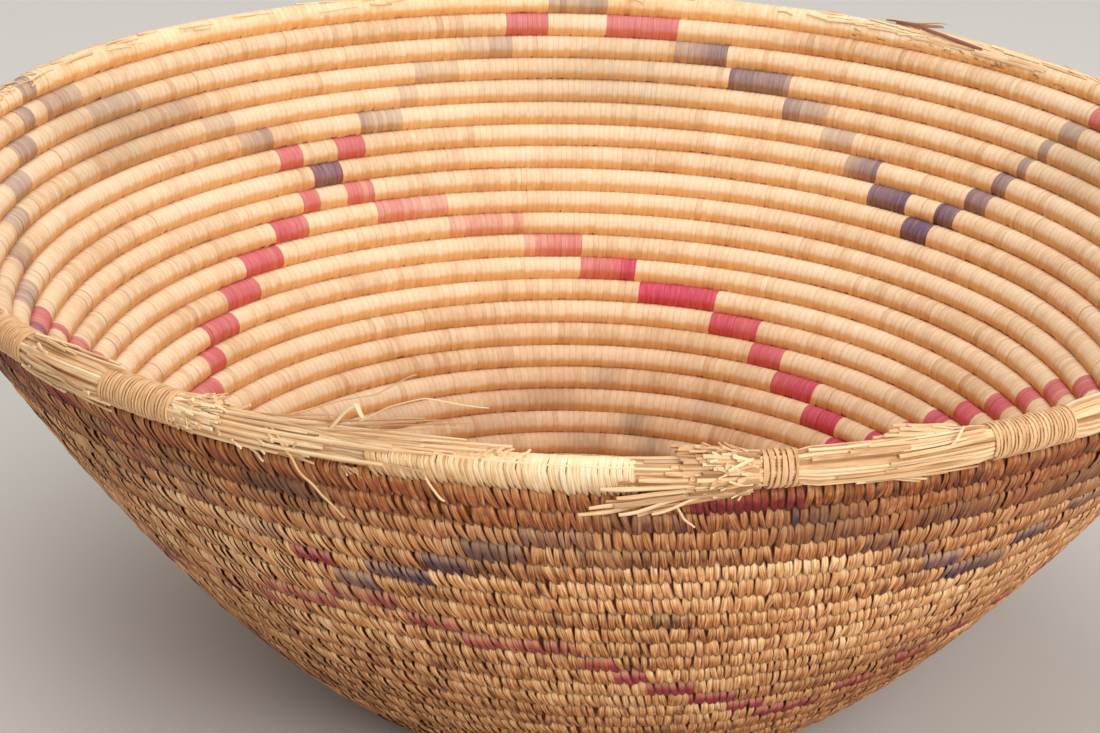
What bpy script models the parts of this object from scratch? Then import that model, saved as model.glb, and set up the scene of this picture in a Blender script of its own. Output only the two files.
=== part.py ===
"""A coiled harvesting basket with a worn rim.

One bundle of grass is wound in a spiral from the middle of the base up to the rim, and each
round is sewn to the round below. The last round is the rim. It is still wrapped at the back,
but at the front its wrapping has worn away, so bare straw shows between the few lashings that
are left. Where the rim bundle broke, loose straws lie over what remains of it.

Lengths are in metres and +Z is up. The front is at -Y. Azimuths are in degrees, seen from
above, counted from +X towards +Y, so the front is at 270. The basket stands on z = 0, and its
axis is the Z axis.
"""

import math

import bpy
from mathutils import Vector
from mathutils.geometry import interpolate_bezier

TURN = 2 * math.pi
MILLIMETRE = 0.001

# The bowl's half outline, through the middle of the coil
FLAT_RADIUS = 0.085
RIM_RADIUS = 0.299
BOWL_HEIGHT = 0.2315
FOOT_PULL = 0.061
RIM_PULL = 0.1014
RIM_SLOPE = math.radians(59.6)
OUTLINE_STEPS = 400

# The coil of grass
COIL_WIDTH = 0.0115
COIL_GAP = 0.0007
FLAT_CUT_SHARE = 0.1
CUT_OVERRUN = 0.02
CORNERS_A_LOOP = 20
SMALL_LOOP = 0.045
START_PLACE = 0.0035
START_SHARE = 0.4
START_TURNS = 1.5
STEP_AZIMUTH = 188.5
SPLICE_GAP = 0.0004
BASE_END = 0.1
LOWER_WALL_END = 0.205
MIDDLE_WALL_END = 0.305

# The rim round, in order from the coil's last step, and the azimuth where each length ends
BUNDLE_RADIUS = 0.0072
WORN_RADIUS = 0.0046
BUNDLE_SEAT = 0.0005
LEFT_BUNDLE_AZIMUTH = 240.3
WORN_BUNDLE_AZIMUTH = 254.0
FRONT_COIL_AZIMUTH = 276.4
RIGHT_BUNDLE_AZIMUTH = 320.0
TAIL_DEGREES = 22.0
TAIL_SHARE = 0.45

# Lashings: the azimuths that each one covers, and the pinch that it makes in the bundle
FAR_LEFT_AZIMUTHS = (217.6, 222.4)
LEFT_AZIMUTHS = (231.8, 238.6)
CENTRE_AZIMUTHS = (281.4, 284.0)
RIGHT_AZIMUTHS = (298.6, 305.8)
PINCH_SHARE = 0.66
PINCH_RUN = 0.006
STRAND_RADIUS = 0.0008
STRAND_CLEARANCE = 0.0004
STRAND_PITCH = 0.0026
STRAND_CORNERS = 8

# Straws and threads. The tables below give how far they lift off as shares of STRAY.
STRAW_RADIUS = 0.00085
THREAD_RADIUS = 0.0005
HAIR_RADIUS = 0.0004
DARK_RADIUS = 0.0013
LOOSE_GAP = 0.0004
STRAY = 0.01
STRAW_RUN = 0.025
AXIS_DEGREES = 0.4
STOP_DEGREES = 0.8

# Fans of straws: the azimuth where each straw ends, the turns (the first straw's and the step
# to the next, at the start and at the furthest end, in degrees from out of the bowl to up),
# and how far the first and the last straw lift off
LOOSE_AZIMUTHS = (247.5, 255.5, 251.0, 258.8, 262.5, 264.2, 260.9, 256.5)
LOOSE_ANGLES = (0, 22, 30, 16)
LOOSE_RISE_SHARES = (0.5, 0.5)
BROKEN_AZIMUTHS = (241.6, 242.3, 241.4, 242.9, 241.9)
BROKEN_ANGLES = (44, 18, 40, 19)
BROKEN_RISE_SHARES = (0.08, 0.14)
FRAYED_AZIMUTHS = (268.9, 269.6, 271.4, 270.3, 272.8, 274.6, 275.0)
FRAYED_ANGLES = (-38, 18, -32, 19)
FRAYED_RISE_SHARES = (0.9, 0.2)

# Single straws and threads, each laid through points of (azimuth, lift-off, turn)
TOP_STRAND_SHARES = ((264.9, 0, 78), (273.4, 0, 72))
BENT_STRAW_SHARES = ((251.4, 0, 170), (252.2, 0.7, 168), (253.4, 1.3, 130), (254.6, 0.9, 118))
LONG_HAIR_SHARES = ((245.0, 0, 172), (249.0, 0.9, 162), (254.0, 1.7, 134), (257.5, 3.0, 115))
SHORT_HAIR_SHARES = ((248.0, 0, 176), (253.0, 0.6, 158), (258.0, 1.1, 142), (261.5, 1.3, 128))
LEFT_THREAD_SHARES = ((248.0, 0, -20), (249.0, 0.4, -32), (250.2, 1.0, -44), (251.2, 1.4, -52))
MIDDLE_THREAD_SHARES = ((258.3, 0, -20), (258.9, 0.4, -32), (259.6, 0.8, -48))
RIGHT_THREAD_SHARES = ((274.8, 0, -50), (275.4, 0.4, -42), (276.1, 1.0, -48), (276.9, 1.45, -54))
STRING_LOOP_SHARES = ((294.6, 0, 60), (295.2, 0.3, 78), (295.9, 0.3, 96), (296.4, 0, 116))
LONG_SPLIT_SHARES = ((296.0, 0, 150), (291.2, 0.3, 142))
SHORT_SPLIT_SHARES = ((295.0, 0, 132), (290.6, 0.2, 124))
UPPER_FLAP_SHARES = ((414.6, 0, 90), (421.4, 0.2, 70))
LOWER_FLAP_SHARES = ((415.2, 0, 30), (420.6, 0.1, 44))
DARK_STRAND_SHARES = ((409.6, 0, 172), (413.0, 0.08, 140), (418.0, 0.1, 112), (421.6, 0.1, 96))


def outline_points():
    """Points (distance from the axis, height above the base coil's middle), axis to rim."""
    foot = Vector((FLAT_RADIUS, 0))
    rim = Vector((RIM_RADIUS, BOWL_HEIGHT))
    foot_handle = foot + Vector((FOOT_PULL, 0))
    rim_handle = rim - RIM_PULL * Vector((math.cos(RIM_SLOPE), math.sin(RIM_SLOPE)))
    wall = interpolate_bezier(foot, foot_handle, rim_handle, rim, OUTLINE_STEPS)
    return [Vector((0, 0))] + [Vector(point) for point in wall]


OUTLINE = outline_points()
PLACES = [0.0]
for before, after in zip(OUTLINE, OUTLINE[1:]):
    PLACES.append(PLACES[-1] + (after - before).length)
OUTLINE_LENGTH = PLACES[-1]

HALF_WIDTH = COIL_WIDTH / 2
COIL_PITCH = COIL_WIDTH + COIL_GAP
HALF_THICKNESS = HALF_WIDTH * math.cos(math.pi / 6)
BASE_LIFT = HALF_THICKNESS - FLAT_CUT_SHARE * COIL_WIDTH
BUNDLE_LIFT = HALF_WIDTH + BUNDLE_RADIUS + BUNDLE_SEAT
WORN_LIFT = HALF_WIDTH + WORN_RADIUS + BUNDLE_SEAT
COIL_END = OUTLINE_LENGTH - BUNDLE_LIFT + COIL_PITCH / 2
CORNER_ANGLE = TURN / CORNERS_A_LOOP
CORNER_DEGREES = math.degrees(CORNER_ANGLE)
RIM_START = STEP_AZIMUTH - CORNER_DEGREES / 2


def outline_at(place):
    """The outline's point and direction at a distance along it. Past the rim it runs straight on."""
    index = 1
    while index < len(PLACES) - 1 and PLACES[index] < place:
        index += 1
    low, high = OUTLINE[index - 1], OUTLINE[index]
    direction = (high - low).normalized()
    return low + direction * (place - PLACES[index - 1]), direction


def tilt_at(place):
    _, direction = outline_at(place)
    return -math.atan2(direction.y, direction.x)


def on_bowl(angle, place):
    """The point of the bowl's middle surface at an azimuth in radians and a place on the outline."""
    point, _ = outline_at(place)
    return Vector((point.x * math.cos(angle), point.x * math.sin(angle), BASE_LIFT + point.y))


def coil_corners():
    """Each corner of the coil from its thin start: angle turned, place on the outline, half width."""
    corners = []
    angle = 0.0
    place = START_PLACE
    while place < COIL_END:
        share = START_SHARE + (1 - START_SHARE) * angle / (TURN * START_TURNS)
        half = HALF_WIDTH * min(1.0, share)
        corners.append((angle, place, half))
        step = CORNER_ANGLE if place > SMALL_LOOP else 2 * CORNER_ANGLE
        place += (2 * half + COIL_GAP) * step / TURN
        angle += step
    return corners


CORNERS = coil_corners()
ANGLE_AT_END = CORNERS[-1][0]


def corner_point(corner):
    turned, place, _ = corner
    return on_bowl(math.radians(STEP_AZIMUTH) + turned - ANGLE_AT_END, place)


def rim_corner(index, lift):
    """A corner of the rim round, counted from the step, set above the round below it."""
    _, place, _ = CORNERS[len(CORNERS) - 1 - CORNERS_A_LOOP + index]
    return on_bowl(math.radians(STEP_AZIMUTH) + index * CORNER_ANGLE, place + lift)


def rim_step(azimuth):
    """The corner before an azimuth, and how far on it lies towards the next corner."""
    steps = (azimuth - STEP_AZIMUTH) / CORNER_DEGREES
    index = math.floor(steps)
    return index, steps - index


def rim_point(azimuth, lift):
    """A point on the straight runs between the rim round's corners."""
    index, share = rim_step(azimuth)
    return rim_corner(index, lift).lerp(rim_corner(index + 1, lift), share)


def rim_axes(azimuth, lift):
    """Unit vectors at the rim: out of the bowl, and up the wall. Both are square to the run."""
    along = (rim_point(azimuth + AXIS_DEGREES, lift) - rim_point(azimuth - AXIS_DEGREES, lift)).normalized()
    up = rim_point(azimuth, lift) - rim_point(azimuth, 0)
    out = along.cross(up).normalized()
    return out, out.cross(along).normalized()


def beside_rim(azimuth, lift, distance, turned):
    """A point beside the rim round's middle line, turned in degrees from out of the bowl to up."""
    out, up = rim_axes(azimuth, lift)
    angle = math.radians(turned)
    return rim_point(azimuth, lift) + distance * (out * math.cos(angle) + up * math.sin(angle))


def degrees_for(length):
    """The azimuth that a length covers along the rim."""
    return math.degrees(length / RIM_RADIUS)


def corners_between(low, high):
    """The azimuths of the rim round's corners between two azimuths."""
    first = math.floor((low - STEP_AZIMUTH) / CORNER_DEGREES) + 1
    last = math.ceil((high - STEP_AZIMUTH) / CORNER_DEGREES)
    return [STEP_AZIMUTH + index * CORNER_DEGREES for index in range(first, last)]


def finish(name, colour, roughness):
    made = bpy.data.materials.new(name)
    made.use_nodes = True
    shader = made.node_tree.nodes["Principled BSDF"]
    shader.inputs["Base Color"].default_value = (*colour, 1)
    shader.inputs["Roughness"].default_value = roughness
    shader.inputs["Metallic"].default_value = 0.0
    return made


def tubes(name, material, runs, level, twist="Z_UP"):
    """Closed tubes with square ends. Each point of a run is (place, radius, tilt)."""
    curve = bpy.data.curves.new(name, "CURVE")
    curve.dimensions = "3D"
    curve.twist_mode = twist
    curve.bevel_depth = 1.0
    curve.bevel_resolution = level
    curve.use_fill_caps = True
    for run in runs:
        spline = curve.splines.new("POLY")
        spline.points.add(len(run) - 1)
        for spot, (place, radius, tilt) in zip(spline.points, run):
            spot.co = (*place, 1)
            spot.radius = radius
            spot.tilt = tilt
    curve.materials.append(material)
    made = bpy.data.objects.new(name, curve)
    bpy.context.scene.collection.objects.link(made)
    return made


def splice_end(corner, beyond):
    """The square end of a length of coil, half a splice gap short of the middle of the run."""
    near, far = corner_point(corner), corner_point(beyond)
    point = (near + far) / 2 - (far - near).normalized() * SPLICE_GAP / 2
    return point, (corner[2] + beyond[2]) / 2, tilt_at((corner[1] + beyond[1]) / 2)


def coil_length(place_from, place_to):
    """The coil between two places on the outline. It meets its neighbours in mid run."""
    inside = [k for k, corner in enumerate(CORNERS) if place_from <= corner[1] < place_to]
    run = [(corner_point(CORNERS[k]), CORNERS[k][2], tilt_at(CORNERS[k][1])) for k in inside]
    first, last = inside[0], inside[-1]
    if first > 0:
        run.insert(0, splice_end(CORNERS[first], CORNERS[first - 1]))
    if last < len(CORNERS) - 1:
        run.append(splice_end(CORNERS[last], CORNERS[last + 1]))
    return run


def least_gap():
    """The least clear space between a round of the coil and the round inside it."""
    least = COIL_PITCH
    for k, (turned, _, half) in enumerate(CORNERS):
        for other in CORNERS[:k]:
            if abs(turned - other[0] - TURN) < CORNER_ANGLE / 2:
                apart = (corner_point(CORNERS[k]) - corner_point(other)).length
                least = min(least, apart - half - other[2])
    return least


def flatten_below(made):
    """Cuts the underside of the base flat, where the basket stands."""
    width = 2 * (FLAT_RADIUS + CUT_OVERRUN)
    middle = (0, 0, -CUT_OVERRUN / 2)
    bpy.ops.mesh.primitive_cube_add(size=1, location=middle, scale=(width, width, CUT_OVERRUN))
    cutter = bpy.context.object
    cutter.name = "floor_cutter"
    cutter.hide_render = True
    cutter.display_type = "WIRE"
    cut = made.modifiers.new("flat underside", "BOOLEAN")
    cut.operation = "DIFFERENCE"
    cut.solver = "EXACT"
    cut.object = cutter


def as_mesh(made):
    """Turns a tube into a mesh object of the same name, so that a Boolean can cut it."""
    seen = bpy.context.evaluated_depsgraph_get()
    mesh = bpy.data.meshes.new_from_object(made.evaluated_get(seen))
    name = made.name
    curve = made.data
    bpy.data.objects.remove(made)
    bpy.data.curves.remove(curve)
    solid = bpy.data.objects.new(name, mesh)
    bpy.context.scene.collection.objects.link(solid)
    return solid


def value_at(knots, azimuth):
    """The value at an azimuth, read between knots of (azimuth, value)."""
    for (a, low), (b, high) in zip(knots, knots[1:]):
        if a <= azimuth <= b:
            return low + (high - low) * (azimuth - a) / (b - a)
    return knots[-1][1]


def rim_run(knots, lift_of, tilted):
    """A length of the rim round through knots of (azimuth, radius), with the corners between."""
    stops = {azimuth for azimuth, _ in knots}
    stops.update(corners_between(knots[0][0], knots[-1][0]))
    tilt = tilt_at(COIL_END) if tilted else 0
    run = []
    for azimuth in sorted(stops):
        radius = value_at(knots, azimuth)
        run.append((rim_point(azimuth, lift_of(radius)), radius, tilt))
    return run


def on_round_below(radius):
    """The lift of the wrapped rim round where it lies on the round below it."""
    return HALF_WIDTH + COIL_GAP + radius


def bundle_knots(start, end, lashings):
    """A bare bundle's radius along the rim: full between the lashings and pinched under them."""
    run = degrees_for(PINCH_RUN)
    knots = [(start, BUNDLE_RADIUS)]
    for low, high in lashings:
        knots += [(low - run, BUNDLE_RADIUS), (low, BUNDLE_RADIUS * PINCH_SHARE)]
        knots += [(high, BUNDLE_RADIUS * PINCH_SHARE), (high + run, BUNDLE_RADIUS)]
    return knots + [(end, BUNDLE_RADIUS)]


def lashing(name, material, span):
    """A strand wound round a bundle as one unbroken helix."""
    flat = math.cos(math.pi / STRAND_CORNERS)
    reach = (BUNDLE_RADIUS * PINCH_SHARE + STRAND_CLEARANCE + STRAND_RADIUS) / flat
    low, high = span[0] + degrees_for(STRAND_RADIUS), span[1] - degrees_for(STRAND_RADIUS)
    length = (rim_point(high, BUNDLE_LIFT) - rim_point(low, BUNDLE_LIFT)).length
    count = int(length / STRAND_PITCH) * STRAND_CORNERS
    places = []
    for i in range(count + 1):
        azimuth = low + (high - low) * i / count
        places.append(beside_rim(azimuth, BUNDLE_LIFT, reach, 360 * i / STRAND_CORNERS))
    next_turn = places[STRAND_CORNERS:]
    apart = min((after - before).length for before, after in zip(places, next_turn))
    print("least gap of", name, "to itself, mm:", round((apart - 2 * STRAND_RADIUS) / MILLIMETRE, 3))
    # The least twist keeps the strand's faces even where it climbs straight up round the bundle.
    tubes(name, material, [[(place, STRAND_RADIUS, 0) for place in places]], 0, "MINIMUM")


def stops_along(start, end, spacing):
    """Azimuths from start to end at about a spacing in metres, with the rim round's corners."""
    count = max(1, math.ceil(abs(end - start) / degrees_for(spacing)))
    stops = {start + (end - start) * i / count for i in range(count + 1)}
    for corner in corners_between(min(start, end) + STOP_DEGREES, max(start, end) - STOP_DEGREES):
        stops = {stop for stop in stops if abs(stop - corner) > STOP_DEGREES}
        stops.add(corner)
    return sorted(stops, reverse=end < start)


def laid_straw(knots, lift, radius, spacing):
    """A straw laid beside the rim round, through knots of (azimuth, distance, turn)."""
    run = []
    for (start, near, low), (end, far, high) in zip(knots, knots[1:]):
        for azimuth in stops_along(start, end, spacing):
            share = (azimuth - start) / (end - start)
            distance = near + (far - near) * share
            place = beside_rim(azimuth, lift, distance, low + (high - low) * share)
            if not run or (place - run[-1][0]).length > radius:
                run.append((place, radius, 0))
    return run


def straw_fan(start, ends, lift, core, layer, turns, rises):
    """Straws side by side round a core, in a layer of it, from a shared start to their own ends."""
    first, step_near, first_far, step_far = turns
    near = core + (layer + 1) * LOOSE_GAP + (2 * layer + 1) * STRAW_RADIUS
    reach = max(ends, key=lambda end: abs(end - start))
    runs = []
    for i, end in enumerate(ends):
        share = (end - start) / (reach - start)
        rise = STRAY * (rises[0] + (rises[1] - rises[0]) * i / (len(ends) - 1))
        low = first + step_near * i
        high = low + (first_far + step_far * i - low) * share
        knots = [(start, near, low), (end, near + rise * share, high)]
        runs.append(laid_straw(knots, lift, STRAW_RADIUS, STRAW_RUN))
    return runs


def straw_group(name, material, runs):
    """Each straw of a group is a piece of its own."""
    for i, run in enumerate(runs):
        tubes(f"{name}_{i + 1}", material, [run], 0)


def broken_rim(straw):
    """The straws that fan out where the rim bundle broke, left and right of the gap."""
    splice = degrees_for(SPLICE_GAP)
    left, right = LEFT_BUNDLE_AZIMUTH + splice, FRONT_COIL_AZIMUTH - splice
    loose = straw_fan(left, LOOSE_AZIMUTHS, WORN_LIFT, WORN_RADIUS, 0, LOOSE_ANGLES, LOOSE_RISE_SHARES)
    broken = straw_fan(
        left, BROKEN_AZIMUTHS, WORN_LIFT, WORN_RADIUS, 1, BROKEN_ANGLES, BROKEN_RISE_SHARES)
    frayed = straw_fan(
        right, FRAYED_AZIMUTHS, COIL_PITCH, HALF_WIDTH, 0, FRAYED_ANGLES, FRAYED_RISE_SHARES)
    straw_group("loose_straw", straw, loose)
    straw_group("broken_straw", straw, broken)
    straw_group("frayed_straw", straw, frayed)


def beside(core, radius, knots):
    """Knots of (azimuth, lift-off, turn) as the knots of a run laid beside a core."""
    seat = core + LOOSE_GAP + radius
    return [(azimuth, seat + STRAY * share, turned) for azimuth, share, turned in knots]


def threads_and_strands(straw, dark):
    """Single straws and threads along the rim, each laid from a seat on what carries it."""
    coil = (COIL_PITCH, HALF_WIDTH)
    worn = (WORN_LIFT, WORN_RADIUS)
    bundle = (BUNDLE_LIFT, BUNDLE_RADIUS)
    pieces = {
        "top_strand": (straw, coil, THREAD_RADIUS, TOP_STRAND_SHARES),
        "bent_straw": (straw, worn, STRAW_RADIUS, BENT_STRAW_SHARES),
        "long_stray_hair": (straw, worn, HAIR_RADIUS, LONG_HAIR_SHARES),
        "short_stray_hair": (straw, worn, HAIR_RADIUS, SHORT_HAIR_SHARES),
        "left_hanging_thread": (straw, worn, THREAD_RADIUS, LEFT_THREAD_SHARES),
        "middle_hanging_thread": (straw, coil, THREAD_RADIUS, MIDDLE_THREAD_SHARES),
        "right_hanging_thread": (straw, coil, THREAD_RADIUS, RIGHT_THREAD_SHARES),
        "string_loop": (straw, bundle, THREAD_RADIUS, STRING_LOOP_SHARES),
        "long_split_straw": (straw, bundle, STRAW_RADIUS, LONG_SPLIT_SHARES),
        "short_split_straw": (straw, bundle, STRAW_RADIUS, SHORT_SPLIT_SHARES),
        "upper_flap_straw": (straw, coil, STRAW_RADIUS, UPPER_FLAP_SHARES),
        "lower_flap_straw": (straw, coil, STRAW_RADIUS, LOWER_FLAP_SHARES),
        "dark_strand": (dark, coil, DARK_RADIUS, DARK_STRAND_SHARES),
    }
    for name, (material, (lift, core), radius, knots) in pieces.items():
        run = laid_straw(beside(core, radius, knots), lift, radius, STRAW_RUN)
        tubes(name, material, [run], 0)


def wound_coil(material):
    """The coil from the middle of the base up to its last step, in four lengths."""
    base = as_mesh(tubes("base_coil", material, [coil_length(0, BASE_END)], 1))
    flatten_below(base)
    tubes("lower_wall_coil", material, [coil_length(BASE_END, LOWER_WALL_END)], 1)
    tubes("middle_wall_coil", material, [coil_length(LOWER_WALL_END, MIDDLE_WALL_END)], 1)
    tubes("upper_wall_coil", material, [coil_length(MIDDLE_WALL_END, CORNERS[-1][1])], 1)
    print("least gap of the coil to itself, mm:", round(least_gap() / MILLIMETRE, 3))


def rim_round(straw, pale):
    """The last round, in lengths that meet end to end: bare bundles, a worn one and wrapped coil."""
    splice = degrees_for(SPLICE_GAP / 2)
    end = RIM_START + 360
    left = bundle_knots(
        RIM_START + splice, LEFT_BUNDLE_AZIMUTH - splice, (FAR_LEFT_AZIMUTHS, LEFT_AZIMUTHS))
    right = bundle_knots(
        FRONT_COIL_AZIMUTH + splice, RIGHT_BUNDLE_AZIMUTH - splice, (CENTRE_AZIMUTHS, RIGHT_AZIMUTHS))
    worn = [(LEFT_BUNDLE_AZIMUTH + splice, WORN_RADIUS), (WORN_BUNDLE_AZIMUTH - splice, WORN_RADIUS)]
    front = [(WORN_BUNDLE_AZIMUTH + splice, HALF_WIDTH), (FRONT_COIL_AZIMUTH - splice, HALF_WIDTH)]
    back = [
        (RIGHT_BUNDLE_AZIMUTH + splice, HALF_WIDTH),
        (end - TAIL_DEGREES, HALF_WIDTH),
        (end - splice, HALF_WIDTH * TAIL_SHARE),
    ]
    tubes("left_rim_bundle", straw, [rim_run(left, lambda radius: BUNDLE_LIFT, False)], 2)
    tubes("right_rim_bundle", straw, [rim_run(right, lambda radius: BUNDLE_LIFT, False)], 2)
    tubes("worn_rim_bundle", straw, [rim_run(worn, lambda radius: WORN_LIFT, False)], 2)
    tubes("front_rim_coil", pale, [rim_run(front, lambda radius: COIL_PITCH, True)], 1)
    tubes("back_rim_coil", pale, [rim_run(back, on_round_below, True)], 1)


def build():
    for made in list(bpy.data.objects):
        bpy.data.objects.remove(made)
    wrapped = finish("wrapped_coil", (0.63, 0.38, 0.19), 0.8)
    pale = finish("pale_coil", (0.82, 0.62, 0.36), 0.8)
    straw = finish("bare_straw", (0.80, 0.62, 0.38), 0.85)
    strand = finish("lashing_strand", (0.68, 0.45, 0.26), 0.75)
    dark = finish("dark_strand", (0.16, 0.10, 0.14), 0.8)
    wound_coil(wrapped)
    rim_round(straw, pale)
    lashing("far_left_lashing", strand, FAR_LEFT_AZIMUTHS)
    lashing("left_lashing", strand, LEFT_AZIMUTHS)
    lashing("centre_lashing", strand, CENTRE_AZIMUTHS)
    lashing("right_lashing", strand, RIGHT_AZIMUTHS)
    broken_rim(straw)
    threads_and_strands(straw, dark)


build()
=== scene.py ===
# %% [markdown]
# # A worn harvesting basket, sewn from one long coil
#
# The basket is a single bundle of grass, wound in a spiral from the middle of the base up to the rim.
# A flat palm strip wraps the bundle as it goes, and each turn of the strip is also sewn into the round
# below. Dyed strips make the stepped zigzag. At the front of the rim the wrapping has worn away, so
# bare straw shows there between a few lashings.
#
# The same order is followed here: the bowl's outline, the coil's path on it, one stitch modelled once
# and laid nearly twelve thousand times, the dyed places, and then the rim with its straws.

import math

import bpy
import numpy as np
from mathutils import Matrix


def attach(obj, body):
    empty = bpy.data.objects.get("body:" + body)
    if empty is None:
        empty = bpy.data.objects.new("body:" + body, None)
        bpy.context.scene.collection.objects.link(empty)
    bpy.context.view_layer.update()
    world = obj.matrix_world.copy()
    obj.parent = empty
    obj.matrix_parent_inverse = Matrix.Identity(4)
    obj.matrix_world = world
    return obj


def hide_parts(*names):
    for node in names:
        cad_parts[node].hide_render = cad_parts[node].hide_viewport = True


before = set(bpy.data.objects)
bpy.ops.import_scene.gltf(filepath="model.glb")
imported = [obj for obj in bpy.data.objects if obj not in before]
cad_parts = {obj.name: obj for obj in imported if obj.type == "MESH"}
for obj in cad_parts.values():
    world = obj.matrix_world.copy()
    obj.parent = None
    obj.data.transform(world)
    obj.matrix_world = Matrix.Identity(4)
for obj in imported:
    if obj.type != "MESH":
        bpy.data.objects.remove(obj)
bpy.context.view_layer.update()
rng = np.random.default_rng(11)
print("solids in the frame:", len(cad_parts))

# %% [markdown]
# ## The bowl's outline
#
# The outline runs from the axis over a flat base and up a curved wall. It is one curve with a handle
# at the foot and one at the rim, in the sizes of the solid model. Every piece finds its place by the
# distance along this line and an azimuth, as a basket maker measures round by round.

# %% The outline and a way to stand beside it
FLAT_RADIUS = 0.085
RIM_RADIUS = 0.299
BOWL_HEIGHT = 0.2315
FOOT_PULL = 0.061
RIM_PULL = 0.1014
RIM_SLOPE = math.radians(59.6)
COIL_WIDTH = 0.0115
COIL_GAP = 0.0007
HALF_WIDTH = COIL_WIDTH / 2
COIL_PITCH = COIL_WIDTH + COIL_GAP
BASE_LIFT = HALF_WIDTH * math.cos(math.pi / 6) - 0.1 * COIL_WIDTH
SHORT_WAY = 0.001

rim_way = np.array([math.cos(RIM_SLOPE), math.sin(RIM_SLOPE)])
foot = np.array([FLAT_RADIUS, 0.0])
rim = np.array([RIM_RADIUS, BOWL_HEIGHT])
s = np.linspace(0, 1, 400)[:, None]
wall = (1 - s) ** 3 * foot + 3 * (1 - s) ** 2 * s * (foot + [FOOT_PULL, 0])
wall = wall + 3 * (1 - s) * s**2 * (rim - RIM_PULL * rim_way) + s**3 * rim
OUTLINE = np.vstack([[0, 0], wall])
PLACES = np.concatenate([[0], np.cumsum(np.linalg.norm(np.diff(OUTLINE, axis=0), axis=1))])


def beside_bowl(azimuth, place, out=0.0, up=0.0):
    """Points beside the bowl's wall: azimuth in radians, place along the outline, then out and up."""
    place = np.asarray(place, float)
    past = np.maximum(place - PLACES[-1], 0)
    radius = np.interp(place, PLACES, OUTLINE[:, 0]) + past * rim_way[0]
    height = np.interp(place, PLACES, OUTLINE[:, 1]) + past * rim_way[1]
    ahead = np.minimum(place + SHORT_WAY, PLACES[-1])
    behind = np.minimum(np.maximum(place - SHORT_WAY, 0), PLACES[-1] - SHORT_WAY)
    run, rise = (
        np.interp(ahead, PLACES, OUTLINE[:, i]) - np.interp(behind, PLACES, OUTLINE[:, i]) for i in range(2))
    length = np.hypot(run, rise)
    run, rise = run / length, rise / length
    reach = radius + up * run + out * rise
    level = BASE_LIFT + height + up * rise - out * run
    return np.stack(np.broadcast_arrays(reach * np.cos(azimuth), reach * np.sin(azimuth), level), -1)


print("outline length, m:", round(float(PLACES[-1]), 3))

# %% [markdown]
# ## The coil's path
#
# The coil starts thin in the middle and reaches its full width in a turn and a half. After that each
# turn moves it outwards by one coil and a small gap. It ends a little left of the back, where the last
# round steps down onto the one below.

# %% Wind the spiral
STEP_AZIMUTH = 188.5
BUNDLE_RADIUS = 0.0072
REST_GAP = 0.0005
BUNDLE_LIFT = HALF_WIDTH + BUNDLE_RADIUS + REST_GAP
COIL_START, FINE_FROM = 0.0035, 0.045
COIL_END = PLACES[-1] - BUNDLE_LIFT + COIL_PITCH / 2
START_SHARE, TURNS_TO_FULL = 0.4, 1.5
TURN = 2 * math.pi

corners = []
turned, place = 0.0, COIL_START
while place < COIL_END:
    half = HALF_WIDTH * min(1.0, START_SHARE + (1 - START_SHARE) * turned / (TURN * TURNS_TO_FULL))
    corners.append((turned, place, half))
    step = TURN / 20 if place > FINE_FROM else TURN / 10
    place += (2 * half + COIL_GAP) * step / TURN
    turned += step
TURNED, COIL_PLACE, COIL_HALF = np.array(corners).T
END = TURNED[-1]


def coil_place(turned):
    """The coil's place on the outline after an angle turned. Past its end it goes on in step."""
    past = np.maximum(turned - END, 0)
    return np.interp(turned, TURNED, COIL_PLACE) + past * COIL_PITCH / TURN


def azimuth_of(turned):
    return math.radians(STEP_AZIMUTH) + turned - END


print("rounds of coil:", round(END / TURN, 1))

# %% [markdown]
# ## Where each stitch goes
#
# A stitch passes between two stitches of the round below, so the maker counts nothing. Each new stitch
# stands over the middle of the pair below it, shifted a little because the strip leans. Where
# the rounds grow and the pair has spread too far, the maker squeezes in one more. This rule alone gives
# the radiating lines of such a basket. On the worn front of the rim the wraps are narrower.

# %% Step along the coil from stitch to stitch
STITCH_PITCH = 0.0028
FRONT_PITCH = 0.0022
LEAN_SHIFT = 0.0010
LEAST_RADIUS = 0.004
TOO_CLOSE, TOO_WIDE = 0.45, (1.35, 1.6)
FRONT_START, FRONT_END, FRONT_BARE = 254.0, 276.4, 272.6
BACK_START, BACK_END = 320.0, 539.5

stitches = [0.0]
below = 0
last_turn = END + math.radians(BACK_END - STEP_AZIMUTH)
while True:
    now = stitches[-1]
    radius = max(float(np.interp(coil_place(now), PLACES, OUTLINE[:, 0])), LEAST_RADIUS)
    scale = float(np.interp(now, TURNED, COIL_HALF)) / HALF_WIDTH
    if now < TURN:
        coming = now + STITCH_PITCH * scale / radius
    else:
        shift = TURN + LEAN_SHIFT / radius
        coming = (stitches[below] + stitches[below + 1]) / 2 + shift
        while coming < now + TOO_CLOSE * STITCH_PITCH / radius:
            below += 1
            coming = (stitches[below] + stitches[below + 1]) / 2 + shift
        if (coming - now) * radius > rng.uniform(*TOO_WIDE) * STITCH_PITCH:
            coming = (coming + now) / 2
        else:
            below += 1
    if coming > last_turn:
        break
    stitches.append(coming)
stitches = np.array(stitches)
for _ in range(8):
    between = (stitches[:-2] + stitches[2:]) / 2
    stitches[1:-1] += 0.35 * (between - stitches[1:-1])
front_low, front_high = (END + math.radians(a - STEP_AZIMUTH) for a in (FRONT_START, FRONT_END))
front = np.arange(front_low, front_high, FRONT_PITCH / RIM_RADIUS)
stitches = np.concatenate([stitches[stitches < front_low], front, stitches[stitches > front_high]])
gaps = np.diff(stitches, prepend=2 * stitches[0] - stitches[1], append=2 * stitches[-1] - stitches[-2])
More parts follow.
